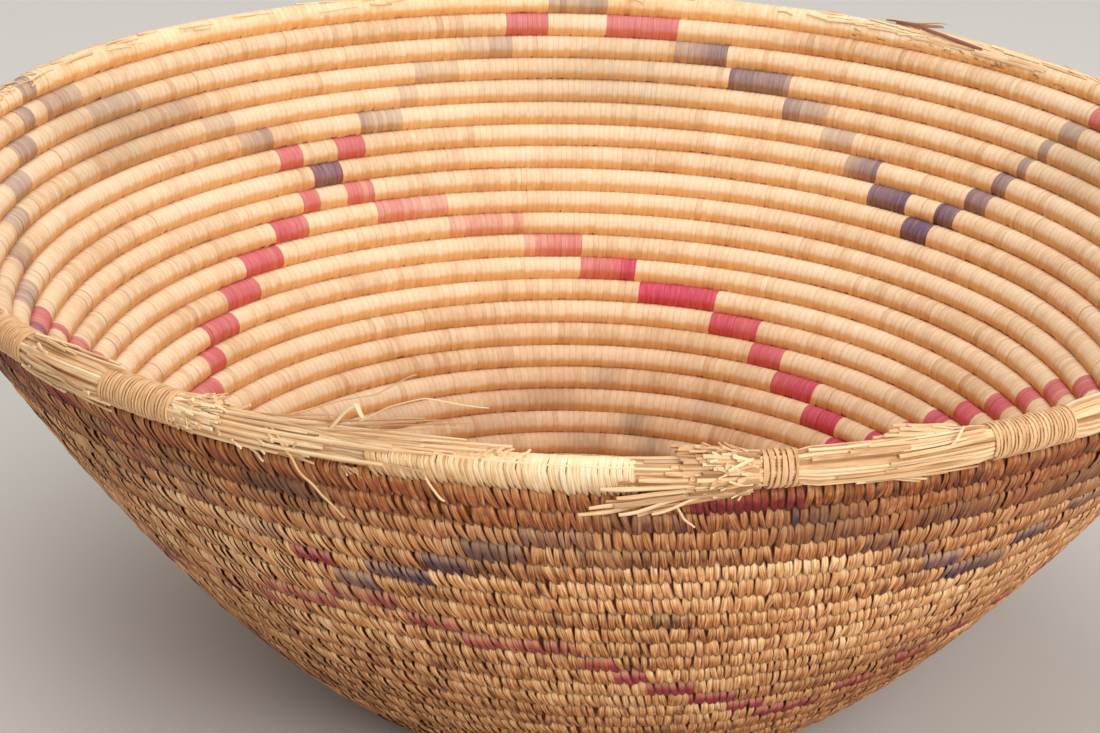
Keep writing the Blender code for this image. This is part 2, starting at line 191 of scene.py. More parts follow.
spacing = np.maximum(gaps[:-1], gaps[1:])

rounds_below = np.ceil((END - stitches) / TURN).astype(int) - 1
stitch_degrees = STEP_AZIMUTH + np.degrees(stitches - END) + 360 * (rounds_below + 1)
print("stitches:", len(stitches), "in rounds", rounds_below.min(), "to", rounds_below.max())

# %% [markdown]
# ## The dyed zigzags
#
# Two stepped lines run round the bowl. Each is a zigzag through chosen points of azimuth, rounds below
# the rim and depth of dye. A stitch is dyed where the line passes through its round, so the steps come by
# themselves from the sewing. The lower line is red. The upper one is purple, and fades to red where it
# meets the other and at the rim.

# %% Choose the dyed stitches
LOWER_LINE = (
    (188.5, 6.5, 0.5), (192, 8.5, 0.6), (197, 10.5, 0.6), (205, 12.4, 0.6), (210, 11.5, 0.6),
    (215.5, 10.5, 0.6), (222.5, 9.5, 0.3), (229, 9.4, 0.3), (237.3, 8.5, 0.55), (245.5, 7.5, 0.6),
    (249, 6.6, 0.6), (252.5, 7.5, 0.7), (257.6, 8.5, 0.6), (269, 9.5, 0.55), (272.5, 10.5, 0.75),
    (276.2, 11.5, 0.8), (281.3, 12.5, 0.9), (287, 13.5, 0.9), (291, 14.5, 0.95), (295.5, 15.45, 1.0),
    (300.8, 14.5, 0.95), (307.5, 13.5, 0.7), (313.5, 12.5, 0.8), (318.5, 11.5, 0.7),
    (323.8, 10.5, 0.7), (331, 9.5, 0.7), (341, 8.5, 0.7), (352, 7.5, 0.7), (356.5, 6.6, 0.7),
    (361, 7.5, 0.8), (365, 8.5, 0.8), (369.5, 9.5, 0.8), (374, 10.5, 0.8), (378, 11.5, 0.85),
    (382.5, 12.5, 0.9), (387, 13.5, 0.9), (391.5, 14.5, 0.9), (395, 15.5, 0.9), (399.5, 16.5, 1.0),
    (402.5, 17.4, 1.0), (406, 16.5, 1.0), (413, 15.5, 0.95), (420.5, 14.5, 0.9), (426, 13.5, 0.9),
    (433, 12.5, 0.95), (445, 11.5, 1.0), (453, 10.5, 0.75), (461, 9.5, 0.5), (471, 8.5, 0.45),
    (480, 7.5, 0.7), (483.5, 6.5, 0.8), (485.3, 5.55, 0.0), (487, 6.5, 0.8), (490, 7.5, 0.8),
    (495.3, 8.5, 0.85), (501.6, 9.5, 0.85), (507.5, 10.5, 0.85), (513.5, 11.5, 0.85),
    (517.5, 12.5, 0.8), (522.7, 13.5, 0.8), (526, 14.4, 0.8), (529, 13.5, 0.8), (533.5, 11.5, 0.7),
    (537, 9.5, 0.7), (540.5, 7.5, 0.7), (542, 6.5, 0.8), (548.5, 5.5, 0.8),
)
UPPER_LINE = (
    (188.5, 5.9, 0.5), (190, 5.5, 0.5), (196, 4.5, 0.4), (201, 3.5, 0.4), (206, 2.5, 0.4),
    (211, 1.5, 0.4), (216, 0.5, 0.5), (221, -1.2, 0.6), (226, 0.5, 0.5), (230, 1.5, 0.3),
    (235, 2.5, 0.25), (239, 3.5, 0.25), (244, 4.5, 0.4), (247.6, 5.5, 0.5), (249.1, 6.5, 0.5),
    (251, 5.5, 0.7), (256.3, 4.5, 0.8), (260.1, 3.5, 0.6), (264.5, 2.5, 0.5), (270, 1.5, 0.3),
    (276.3, 0.51, 0.3), (276.4, 0.5, 0.9), (280.5, -0.45, 0.95), (284.6, 0.5, 0.8), (284.7, 0.51, 0.3),
    (288, 1.5, 0.2), (291, 2.5, 0.25),
    (294.5, 3.5, 0.4), (298.5, 4.5, 0.55), (302.4, 5.5, 0.7), (305.5, 6.5, 0.7), (308.8, 5.5, 0.7),
    (313, 4.5, 0.6), (318, 3.5, 0.5), (322, 2.5, 0.4), (326, 1.5, 0.4), (329, 0.5, 0.5),
    (331.5, -1.2, 0.5), (335, 0.5, 0.5), (339, 1.5, 0.4), (343, 2.5, 0.4), (347, 3.5, 0.5),
    (351, 4.5, 0.6), (355, 5.5, 0.7), (357, 6.4, 0.7), (359.5, 5.5, 0.7), (363, 4.5, 0.6),
    (367, 3.5, 0.5), (371, 2.5, 0.5), (376, 1.5, 0.4), (381, 0.5, 0.4), (388.5, -1.2, 0.5),
    (391, -0.5, 0.5), (393.8, 0.5, 0.5), (396.8, 1.5, 0.6), (399.3, 3.5, 0.7), (401.3, 4.5, 0.8),
    (404.3, 5.5, 0.9), (407, 6.5, 1.0), (409, 7.45, 1.0), (411.2, 6.5, 1.0), (416.6, 5.5, 0.9),
    (421, 4.5, 0.45), (424.6, 3.5, 0.4), (430, 2.5, 0.75), (437, 1.5, 0.9), (443, 0.5, 0.45),
    (450.5, -0.5, 0.6), (453.6, -1.4, 0.6), (456.7, -0.5, 0.5), (461, 0.5, 0.4), (467, 1.5, 0.3),
    (472, 2.5, 0.3), (474.5, 3.5, 0.3), (479.5, 4.5, 0.6), (483.3, 5.5, 0.8), (485.3, 6.45, 0.9),
    (487.5, 5.5, 0.8), (491, 4.5, 0.6), (495, 3.5, 0.3), (499, 2.5, 0.25), (506, 1.5, 0.25),
    (513, 0.5, 0.35), (520.5, -0.8, 0.6), (523.5, 0.5, 0.6), (527.5, 1.5, 0.55), (532, 2.5, 0.5),
    (536, 3.5, 0.45), (540.5, 4.5, 0.5), (546, 5.5, 0.6), (548.5, 5.9, 0.6),
)


def dye_depth(line, degrees, rounds):
    """How deeply a stitch is dyed: nothing where the line isn't in the stitch's round."""
    at, level, depth = np.array(line).T
    inside = np.abs(np.interp(degrees, at, level) - rounds) <= 0.5
    return np.where(inside, np.interp(degrees, at, depth), 0.0)


red = dye_depth(LOWER_LINE, stitch_degrees, rounds_below)
purple = dye_depth(UPPER_LINE, stitch_degrees, rounds_below)
print("dyed stitches:", int((red > 0).sum()), "red and", int((purple > 0).sum()), "purple")

# %% [markdown]
# ## One stitch, modelled once
#
# A stitch is a flat strip bent right round the bundle. On the inside of the bowl it lies snug and
# square to the coil. On the outside it leans, narrows and ends in a tongue that is tucked
# between two stitches of the round below. The template gives sixteen stations round the bundle: out of
# the bowl, up the wall, the share of the strip's width, and how far the strip leans along the coil, the
# lengths in millimetres.
#
# The model starts as a ring of sixteen points. Each point is moved to its station, the ring is extruded
# twice into a ribbon, its middle row is raised into a crown, and the two edges are bridged underneath.
# So every stitch is a closed strip with a back, a crown and 48 faces.

# %% Model the stitch in edit mode
MM = 0.001
STATIONS = np.array((
    (4.2, -8.0, 0.24, 1.5), (4.9, -6.9, 0.50, 1.25), (5.3, -5.0, 0.80, 0.85), (5.6, -2.2, 0.98, 0.35),
    (5.7, 0.8, 1.02, -0.1), (5.4, 3.7, 0.98, -0.55), (4.4, 5.6, 0.87, -0.85), (1.7, 6.35, 0.92, -0.75),
    (-1.6, 6.0, 1.04, -0.3), (-4.0, 4.5, 1.08, -0.1), (-5.5, 2.0, 1.08, 0.0), (-5.85, -0.6, 1.09, 0.0),
    (-5.2, -3.3, 1.12, 0.1), (-3.6, -5.4, 1.14, 0.3), (-1.0, -6.4, 1.06, 0.7), (1.8, -7.1, 0.64, 1.3),
)) * (MM, MM, 1, MM)
RING = len(STATIONS)
CROWN = 0.14 * MM


def only(obj):
    """Selects one object and nothing else, and makes it the active one."""
    bpy.ops.object.select_all(action="DESELECT")
    obj.select_set(True)
    bpy.context.view_layer.objects.active = obj


def pick_vertices(obj, indices):
    """Selects some vertices of the object that is in edit mode."""
    bpy.ops.object.mode_set(mode="OBJECT")
    chosen = set(indices)
    obj.data.vertices.foreach_set("select", [i in chosen for i in range(len(obj.data.vertices))])
    obj.data.edges.foreach_set("select", [False] * len(obj.data.edges))
    obj.data.polygons.foreach_set("select", [False] * len(obj.data.polygons))
    bpy.ops.object.mode_set(mode="EDIT")


bpy.ops.object.select_all(action="DESELECT")
bpy.ops.mesh.primitive_circle_add(vertices=RING, radius=HALF_WIDTH, rotation=(math.pi / 2, 0, 0))
stitch = bpy.context.object
bpy.ops.object.transform_apply(rotation=True)
bpy.ops.object.mode_set(mode="EDIT")
bpy.ops.mesh.select_mode(type="VERT")
for i, (out, up, _, _) in enumerate(STATIONS):
    pick_vertices(stitch, [i])
    x, y, z = stitch.data.vertices[i].co
    bpy.ops.transform.translate(value=(out - x, -0.5 - y, up - z))
bpy.ops.mesh.select_all(action="SELECT")
for _ in range(2):
    bpy.ops.mesh.extrude_edges_move(TRANSFORM_OT_translate={"value": (0, 0.5, 0)})
pick_vertices(stitch, range(RING, 2 * RING))
bpy.ops.transform.resize(value=(1.035, 1, 1.03), center_override=(0, 0, 0))
bpy.ops.transform.translate(value=(CROWN, 0, 0))
for i, (_, _, width, _) in enumerate(STATIONS):
    pick_vertices(stitch, [i, i + RING, i + 2 * RING])
    bpy.ops.transform.resize(value=(1, width, 1), center_override=(0, 0, 0))
bpy.ops.mesh.select_mode(type="EDGE")
bpy.ops.mesh.select_all(action="DESELECT")
bpy.ops.mesh.select_non_manifold()
bpy.ops.mesh.bridge_edge_loops()
bpy.ops.mesh.select_all(action="SELECT")
bpy.ops.mesh.normals_make_consistent(inside=False)
bpy.ops.object.mode_set(mode="OBJECT")
print("faces of the stitch:", len(stitch.data.polygons))

# %% [markdown]
# ## Laying copies of a piece
#
# A basket has thousands of alike stitches and hundreds of alike straws. Each kind is modelled once, and
# its copies are set down together as one mesh for each round or bundle. The faces are the master's, with
# their numbers moved on, and each copy carries its own values for the material: tone, dye and dirt.
# The shares say which stations move when a stitch's tip, top or outer side is uneven.

# %% Join many laid copies into one mesh
def mesh_object(name, points, faces, strip_map, fields, smooth_under):
    """One object from corners, faces, the place of each face corner on the strip, and the fields."""
    mesh = bpy.data.meshes.new(name)
    mesh.from_pydata(points.tolist(), [], faces)
    layer = mesh.uv_layers.new(name="strip")
    layer.data.foreach_set("uv", strip_map.astype(np.float32).reshape(-1))
    for key, value in fields.items():
        mesh.attributes.new(key, "FLOAT", "POINT").data.foreach_set("value", value.astype(np.float32))
    made = bpy.data.objects.new(name, mesh)
    bpy.context.scene.collection.objects.link(made)
    only(made)
    bpy.ops.object.shade_smooth_by_angle(angle=math.radians(smooth_under))
    return made


def belongs(made, material, part):
    """Gives a piece its material, hides the solid that it stands for, and sets it on the root body."""
    made.data.materials.append(material)
    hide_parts(part)
    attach(made, "root")
    return made


STITCH_POINTS = np.array([v.co for v in stitch.data.vertices])
STITCH_FACES = np.array([list(p.vertices) for p in stitch.data.polygons])
bpy.data.objects.remove(stitch)
row, station = np.divmod(np.arange(len(STITCH_POINTS)), RING)
STITCH_MAP = np.stack([row[STITCH_FACES] / 2, station[STITCH_FACES] / RING], -1)
wraps = np.ptp(STITCH_MAP[..., 1], axis=1) > 0.5
STITCH_MAP[..., 1] += wraps[:, None] & (STITCH_MAP[..., 1] < 0.5)
STITCH_LEAN = STATIONS[station, 3]
TIP_SHARE = np.array((1, 1, 0.8, 0.5, 0.2, 0, 0, 0, 0, 0, 0, 0, 0, 0, 0.5, 0.9))[station]
TOP_SHARE = np.array((0, 0, 0, 0.2, 0.5, 0.8, 1, 0.8, 0.3, 0, 0, 0, 0, 0, 0, 0))[station]
OUTER_SHARE = np.array((0.6, 1, 1, 1, 1, 1, 0.8, 0.3, 0, 0, 0, 0, 0, 0, 0, 0.2))[station]
ACROSS_SHARE = row - 1.0


def stitch_copies(name, points, values):
    """An object of many stitches. Points is (copies, corners, 3) and each value one number a copy."""
    copies, each, _ = points.shape
    faces = (STITCH_FACES[None] + each * np.arange(copies)[:, None, None]).reshape(-1, 4).tolist()
    fields = {key: np.repeat(value, each) for key, value in values.items()}
    return mesh_object(name, points.reshape(-1, 3), faces, np.tile(STITCH_MAP, (copies, 1, 1)), fields, 62)


print("corners of the stitch:", len(STITCH_POINTS))

# %% [markdown]
# ## Tools for the materials
#
# Colours are written from 0 to 255, as they are read in a picture, and turned into the linear values that
# shaders use. A small class adds nodes to one tree, so that a pattern reads like a sum: times, plus,
# mix and step. Each call gives back a socket for the next one.

# %% Helpers for node groups
def srgb(*levels):
    """A colour read from 0 to 255, as linear red, green, blue and a full alpha."""
    parts = [c / 255 for c in levels]
    return [c / 12.92 if c <= 0.04045 else ((c + 0.055) / 1.055) ** 2.4 for c in parts] + [1.0]


class Wiring:
    """Adds nodes to a tree. A tuple given to a socket is a colour from 0 to 255."""

    def __init__(self, tree):
        self.tree = tree

    def node(self, kind, sockets=(), **settings):
        made = self.tree.nodes.new(kind)
        for key, value in settings.items():
            setattr(made, key, value)
        for key, value in dict(sockets).items():
            if isinstance(value, bpy.types.NodeSocket):
                self.tree.links.new(value, made.inputs[key])
            else:
                made.inputs[key].default_value = srgb(*value) if isinstance(value, tuple) else value
        return made

    def reckon(self, operation, *values, clamp=False):
        made = self.node("ShaderNodeMath", enumerate(values), operation=operation, use_clamp=clamp)
        return made.outputs[0]

    def times(self, first, *others, clamp=False):
        for other in others:
            first = self.reckon("MULTIPLY", first, other, clamp=clamp)
        return first

    def plus(self, a, b, clamp=False):
        return self.reckon("ADD", a, b, clamp=clamp)

    def line(self, value, factor, shift):
        return self.reckon("MULTIPLY_ADD", value, factor, shift)

    def mix(self, share, a, b, how="MIX"):
        made = self.node("ShaderNodeMix", {0: share, 6: a, 7: b}, data_type="RGBA", blend_type=how)
        return made.outputs[2]

    def tint(self, share, colour, glaze):
        return self.mix(share, colour, glaze, "MULTIPLY")

    def step(self, value, low, high, at_low=0.0, at_high=1.0):
        sockets = {0: value, 1: low, 2: high, 3: at_low, 4: at_high}
        return self.node("ShaderNodeMapRange", sockets, interpolation_type="SMOOTHSTEP").outputs[0]

    def ramp(self, value, *stops):
        made = self.node("ShaderNodeValToRGB", {0: value})
        elements = made.color_ramp.elements
        while len(elements) < len(stops):
            elements.new(0.5)
        for element, (at, *colour) in zip(elements, stops):
            element.position = at
            element.color = srgb(*colour)
        return made.outputs[0]

    def noise(self, x, y, seed, detail):
        place = self.node("ShaderNodeCombineXYZ", {0: x, 1: y, 2: seed}).outputs[0]
        return self.node("ShaderNodeTexNoise", {0: place, "Scale": 1.0, "Detail": detail}).outputs[0]


def new_group(name, fields):
    """A node group that reads a place on the strip and some fields, and gives colour, roughness, height."""
    tree = bpy.data.node_groups.new(name, "ShaderNodeTree")
    for key, kind in [("Strip", "Vector")] + [(field, "Float") for field in fields]:
        tree.interface.new_socket(key, in_out="INPUT", socket_type="NodeSocket" + kind)
    for key, kind in (("Colour", "Color"), ("Roughness", "Float"), ("Height", "Float")):
        tree.interface.new_socket(key, in_out="OUTPUT", socket_type="NodeSocket" + kind)
    wiring = Wiring(tree)
    given = wiring.node("NodeGroupInput").outputs
    across, along, _ = wiring.node("ShaderNodeSeparateXYZ", {0: given["Strip"]}).outputs
    return wiring, given, across, along


def give(wiring, colour, roughness, height):
    wiring.node("NodeGroupOutput", {"Colour": colour, "Roughness": roughness, "Height": height})
    return wiring.tree


print("helpers ready")

# %% [markdown]
# ## Split palm
#
# One node group colours every palm strip. It reads where a point lies across and along the strip, and
# the strip's own tone, dye and dirt. Along the strip, from 0 to 0.4 is the outside of the bowl, and from
# 0.47 on the inside. The inside has kept its pale, straw-like tan. The outside has weathered to
# orange brown. Fine fibres run along the strip. Painted shade darkens the strip's edges, the groove
# between two rounds and the lower end of each stitch outside, and a painted highlight lightens its top
# outside. Hands have worn the rim's strips pale.

# %% The palm group
PALM_FIELDS = ("Tone", "Red", "Purple", "Dirt", "Deep", "Soot", "Wear", "Seed")


def palm_group():
    w, given, across, along = new_group("Palm strip", PALM_FIELDS)

    def by_side(outside_value, inside_value):
        return w.step(along, 0.40, 0.47, outside_value, inside_value)

    seed = w.times(given["Seed"], 90.0)
    fibre = w.noise(w.times(across, 6.0), w.times(along, 4.0), seed, 3.0)
    stain = w.noise(w.times(across, 1.2), w.times(along, 9.0), seed, 2.0)
    outside = by_side(1.0, 0.0)

    streaks = w.times(w.plus(fibre, -0.5), by_side(2.1, 0.4))
    level = w.plus(given["Tone"], w.plus(streaks, w.line(stain, 0.45, -0.225)), clamp=True)
    inner = w.ramp(w.line(level, 0.68, 0.16), (0.0, 172, 128, 94), (0.3, 214, 172, 130),
                   (0.55, 237, 205, 167), (1.0, 247, 229, 201))
    outer = w.ramp(level, (0.0, 68, 36, 16), (0.25, 152, 84, 38), (0.5, 208, 134, 72),
                   (0.75, 234, 174, 112), (1.0, 252, 214, 164))
    worn = w.ramp(level, (0.0, 190, 128, 74), (0.35, 236, 184, 124), (0.6, 250, 216, 166),
                  (1.0, 255, 238, 206))
    colour = w.mix(given["Wear"], w.mix(outside, inner, outer), worn)

    faded = w.step(fibre, 0.35, 0.75)
    soaked = by_side(1.35, 1.0)
    for dye, inside_dye, outside_dye in (
            ("Red", ((192, 50, 82), (218, 92, 114)), ((150, 34, 52), (190, 70, 78))),
            ("Purple", ((98, 72, 96), (146, 112, 124)), ((78, 50, 74), (114, 82, 100)))):
        dyed = w.mix(outside, w.mix(faded, *inside_dye), w.mix(faded, *outside_dye))
        colour = w.mix(w.times(given[dye], soaked, clamp=True), colour, dyed)

    # Painted shade: the lower inside of each round, where the strip dives into the groove, is tinted darker
    # and warmer.
    uneven = w.plus(w.plus(along, w.line(fibre, 0.05, -0.025)), w.line(given["Seed"], 0.024, -0.012))
    groove_shade = w.step(w.line(given["Deep"], -0.03, uneven), 0.708, 0.768)
    colour = w.tint(groove_shade, colour, (245, 214, 168))
    # Painted shade: the lower end of each stitch outside, which faces down, is darkened.
    end_shade = w.step(along, 0.02, 0.24, 0.6, 0.0)
    colour = w.tint(end_shade, colour, (150, 124, 100))
    # Painted highlight: the top of each stitch outside is lightened.
    crest_highlight = w.times(w.step(along, 0.22, 0.34), w.step(along, 0.36, 0.44, 0.3, 0.0))
    colour = w.mix(crest_highlight, colour, (250, 214, 160), "SCREEN")
    # Painted shade: the strip's edges are darkened, as in the gaps between stitches, more outside than
    # inside.
    edge = w.step(w.reckon("ABSOLUTE", w.plus(across, -0.5)), 0.33, 0.5)
    edge = w.times(edge, by_side(0.9, 0.2), w.step(given["Wear"], 0.0, 1.0, 1.0, 0.4))
    colour = w.tint(edge, colour, (136, 88, 52))
    soil = w.times(given["Dirt"], outside, w.step(stain, 0.25, 0.65, 0.45, 1.0))
    colour = w.tint(soil, colour, (180, 130, 84))
    # The inside is darker towards the bottom of the bowl.
    colour = w.tint(w.times(given["Deep"], by_side(0.0, 1.0)), colour, (222, 206, 198))
    soot_share = w.times(given["Soot"], by_side(1.0, 0.7), w.step(fibre, 0.3, 0.6, 0.4, 1.0))
    colour = w.mix(soot_share, colour, (82, 68, 58))
    return give(w, colour, w.step(fibre, 0.2, 0.8, 0.55, 0.8), fibre)


PALM = palm_group()
print("nodes for split palm:", len(PALM.nodes))

# %% [markdown]
# ## Dry straw
#
# Grass stems are smoother than palm: long streaks, a darker stretch here and there, and a shine that
# changes with the streaks. The same group serves bare straw, the lashing strand, grey old straw and the
# filling, each with a tint of its own. The filling's dark tint is painted shade for the gaps where it shows.

# %% The straw group and the six materials
STRAW_FIELDS = ("Tone", "Seed")
BUMP_DEPTH = 0.2 * MM


def straw_group():
    w, given, across, along = new_group("Dry straw", STRAW_FIELDS)
    seed = w.times(given["Seed"], 70.0)
    streak = w.noise(w.times(across, 5.0), w.times(along, 25.0), seed, 3.0)
    patch = w.noise(across, w.times(along, 90.0), seed, 2.0)
    change = w.plus(w.line(streak, 0.7, -0.35), w.line(patch, 0.45, -0.225))
    colour = w.ramp(w.plus(given["Tone"], change, clamp=True), (0.0, 88, 58, 36), (0.25, 170, 120, 74),
                    (0.5, 220, 176, 126), (1.0, 248, 222, 182))
    return give(w, colour, w.step(streak, 0.2, 0.8, 0.5, 0.75), streak)


def material_from(name, tree, fields, tint=None):
    """A material that feeds the mesh's own map and fields into a group, and the group into a shader."""
    made = bpy.data.materials.new(name)
    made.use_nodes = True
    w = Wiring(made.node_tree)
    link = made.node_tree.links.new
    shader = made.node_tree.nodes["Principled BSDF"]
    group = w.node("ShaderNodeGroup", node_tree=tree)
    link(w.node("ShaderNodeUVMap", uv_map="strip").outputs[0], group.inputs["Strip"])
    for key in fields:
        link(w.node("ShaderNodeAttribute", attribute_name=key.lower()).outputs["Fac"], group.inputs[key])
    colour, roughness, height = group.outputs
    raised = w.node("ShaderNodeBump", {"Height": height, "Strength": 0.7, "Distance": BUMP_DEPTH})
    link(w.tint(1.0, colour, tint) if tint else colour, shader.inputs["Base Color"])
    link(roughness, shader.inputs["Roughness"])
    link(raised.outputs[0], shader.inputs["Normal"])
    shader.inputs["Specular IOR Level"].default_value = 0.35
    return made


STRAW = straw_group()
wrapped_look = material_from("wrapped_coil", PALM, PALM_FIELDS)
straw_look = material_from("bare_straw", STRAW, STRAW_FIELDS)
strand_look = material_from("lashing_strand", STRAW, STRAW_FIELDS, (250, 244, 242))
grey_look = material_from("grey_straw", STRAW, STRAW_FIELDS, (218, 204, 196))
# The filling is real grass; its dark tint is painted shade for the gaps it shows through.
shaded_filling_look = material_from("coil_filling", STRAW, STRAW_FIELDS, (150, 94, 52))
dark_look = material_from("dark_strand", STRAW, STRAW_FIELDS, (160, 118, 122))
print("materials:", len(bpy.data.materials))

# %% [markdown]
# ## The maker's hand
#
# No two strips are alike: they differ a little in width, lean, height and roll, and the seam between two
# rounds wanders. Every such unevenness is drawn once for all stitches.

# %% Draw the unevenness of every stitch
LIFT_SPREAD, OUTER_LIFT = 0.08 * MM, (-0.25 * MM, 0.35 * MM)
ROLL, ROLL_SPREAD = 0.10 * MM, 0.14 * MM
TIP_SHIFT, TOP_SHIFT, TIP_DROP = 0.45 * MM, 0.32 * MM, 0.55 * MM
SEAM_WAVE = 0.42 * MM
many = len(stitches)
tone_noise = rng.normal(0, 1, many)
lean_noise = rng.normal(0, 0.36, many)
lift_noise = rng.normal(0, LIFT_SPREAD, many)
width_noise = 1 + rng.normal(0, 0.02, many)
outer_width = rng.normal(0.03, 0.13, many)
outer_lift = rng.uniform(*OUTER_LIFT, many)
roll = ROLL + rng.normal(0, ROLL_SPREAD, many)
tip_shift = rng.normal(0, TIP_SHIFT, many)
top_shift = rng.normal(0, TOP_SHIFT, many)
tip_drop = rng.normal(0, TIP_DROP, many)
seeds = rng.uniform(0, 1, many)


def edge_wave(turned):
    """How far the seam above a round is moved up, so that the rows outside are uneven."""
    waves = ((1.7, 0.4), (3.1, 2.0), (5.3, 4.1), (8.9, 1.3))
    return SEAM_WAVE * sum(np.sin(speed * turned + start) for speed, start in waves)


def slow_waves(length, seed):
    """A smooth random value along each round, with waves of about a length in degrees."""
    waves = np.random.default_rng(seed)
    value = np.zeros(many)
    for k in np.unique(rounds_below):
        phase = waves.uniform(0, TURN, 5)
        speed = waves.uniform(0.5, 1.6, 5) * 360 / length
        own = rounds_below == k
        angle = np.radians(stitch_degrees[own])
        value[own] = sum(np.sin(f * angle + p) for f, p in zip(speed, phase)) / 2.2
    return value


print("uneven stitches:", many)

# %% [markdown]
# ## Tone, dirt and soot
#
# Whole stretches are darker or paler, because the maker took up strips of another batch. Dust and hands
# have browned the outside below the rim, and the inside is darker towards the bottom of the bowl. A few
# sooty marks are set by azimuth, round, width, height and depth. The dye took unevenly, and red strips
# stand in for purple where the lines meet and on the top round.

# %% Give each stitch its colour values
tone = 0.55 + 0.055 * tone_noise + 0.12 * slow_waves(60, 5) + 0.05 * slow_waves(12, 6)
tone += np.where(rng.uniform(0, 1, many) < 0.04, -0.16, 0)
# Lower rounds are darker towards the bottom of the bowl, and the top round is a little darker.
tone -= 0.15 * np.clip((rounds_below - 11) / 9, 0, 1) + 0.05 * (rounds_below == 0)
dirt = np.interp(rounds_below, (0, 1, 2, 3, 4, 10, 16, 24), (1.0, 0.85, 0.65, 0.35, 0.08, 0.1, 0.35, 0.5))
dirt += 0.3 * np.exp(-(((stitch_degrees - 312) / 14) ** 2))
dirt = np.clip(dirt + 0.12 * slow_waves(40, 8), 0, 1)
# How much the inside is darkened towards the bottom of the bowl.
darkening_to_bottom = np.interp(rounds_below, (12, 18, 24), (0.0, 0.7, 0.9))
SOOT_SPOTS = (
    (236, 1.5, 1.6, 0.8, 0.6), (246.5, 1.2, 3.5, 0.9, 0.8), (262, 2.8, 3.0, 0.8, 0.5),
    (272, 3.2, 4.0, 0.7, 0.35), (287.5, 1.4, 4.0, 0.8, 0.6), (299, 1.8, 5.0, 1.0, 0.4),
    (226, 3.2, 4.0, 1.2, 0.4), (312, 2.0, 6.0, 1.2, 0.5), (83, 18, 3.0, 0.5, 0.8), (79, 19, 4.5, 0.6, 0.7),
    (92, 19, 5.0, 0.6, 0.5), (112, 18.4, 7.0, 0.6, 0.4), (89, 16, 2.5, 0.4, 0.4), (100, 17, 6.0, 0.5, 0.35),
    (70, 17, 4.0, 0.4, 0.4), (128, 17.2, 6.0, 0.5, 0.4), (345, 3.0, 8.0, 1.5, 0.4), (30, 2.0, 8.0, 1.5, 0.4),
    (90, 2.5, 10.0, 1.5, 0.4), (150, 2.0, 9.0, 1.5, 0.5),
)
soot = np.zeros(many)
for at, level, wide, high, depth in SOOT_SPOTS:
    apart = (stitch_degrees - at + 180) % 360 - 180
    soot = np.maximum(soot, depth * np.exp(-((apart / wide) ** 2) - ((rounds_below - level) / high) ** 2))
soot = np.clip(soot + 0.06 * tone_noise * (soot > 0.1), 0, 1)
patchy = np.random.default_rng(21).uniform(0, 1, (2, many)) ** 2
red = red * (1 - 0.95 * (1 - red) * patchy[0])
purple = purple * (1 - 0.8 * (1 - purple) * patchy[1])
meeting = (np.abs(stitch_degrees - 245.5) < 3.8) | (np.abs(stitch_degrees - 485.5) < 5.8)
soft_red = (purple > 0) & ((rounds_below == 0) & (stitch_degrees < 500) | (rounds_below == 5) & meeting)
red = np.where(soft_red, np.maximum(purple, 0.75), red)
purple = np.where(soft_red, 0, purple)
STRIP_VALUES = {
    "tone": tone, "red": red, "purple": purple, "dirt": dirt, "deep": darkening_to_bottom, "soot": soot,
    "wear": np.zeros(many), "seed": seeds}
print("sooty stitches:", int((soot > 0.3).sum()))

# %% [markdown]
# ## Sewing the rounds
#
# Every round of the coil becomes one mesh, from the middle of the base up to the top round. Each stitch
# is scaled to its strip's width, leant, shifted and then bent round the coil at its own place. The
# underside of the base is pressed flat, where the basket stands.

# %% Sew every round
PRESSED_LAYER, PRESSED_SHARE = 0.6 * MM, 0.16
NARROWEST, WIDEST = 1.4 * MM, 4.8 * MM
STRETCHES = (
    ("base_coil", 0.0, 0.1), ("lower_wall_coil", 0.1, 0.205), ("middle_wall_coil", 0.205, 0.305),
    ("upper_wall_coil", 0.305, 1.0))


def pressed_flat(points):
    """Squeezes what would reach below the floor into a thin layer above it."""
    level = points[..., 2]
    pressed = PRESSED_LAYER + (level - PRESSED_LAYER) * PRESSED_SHARE
    points[..., 2] = np.where(level < PRESSED_LAYER, pressed, level)
    return points


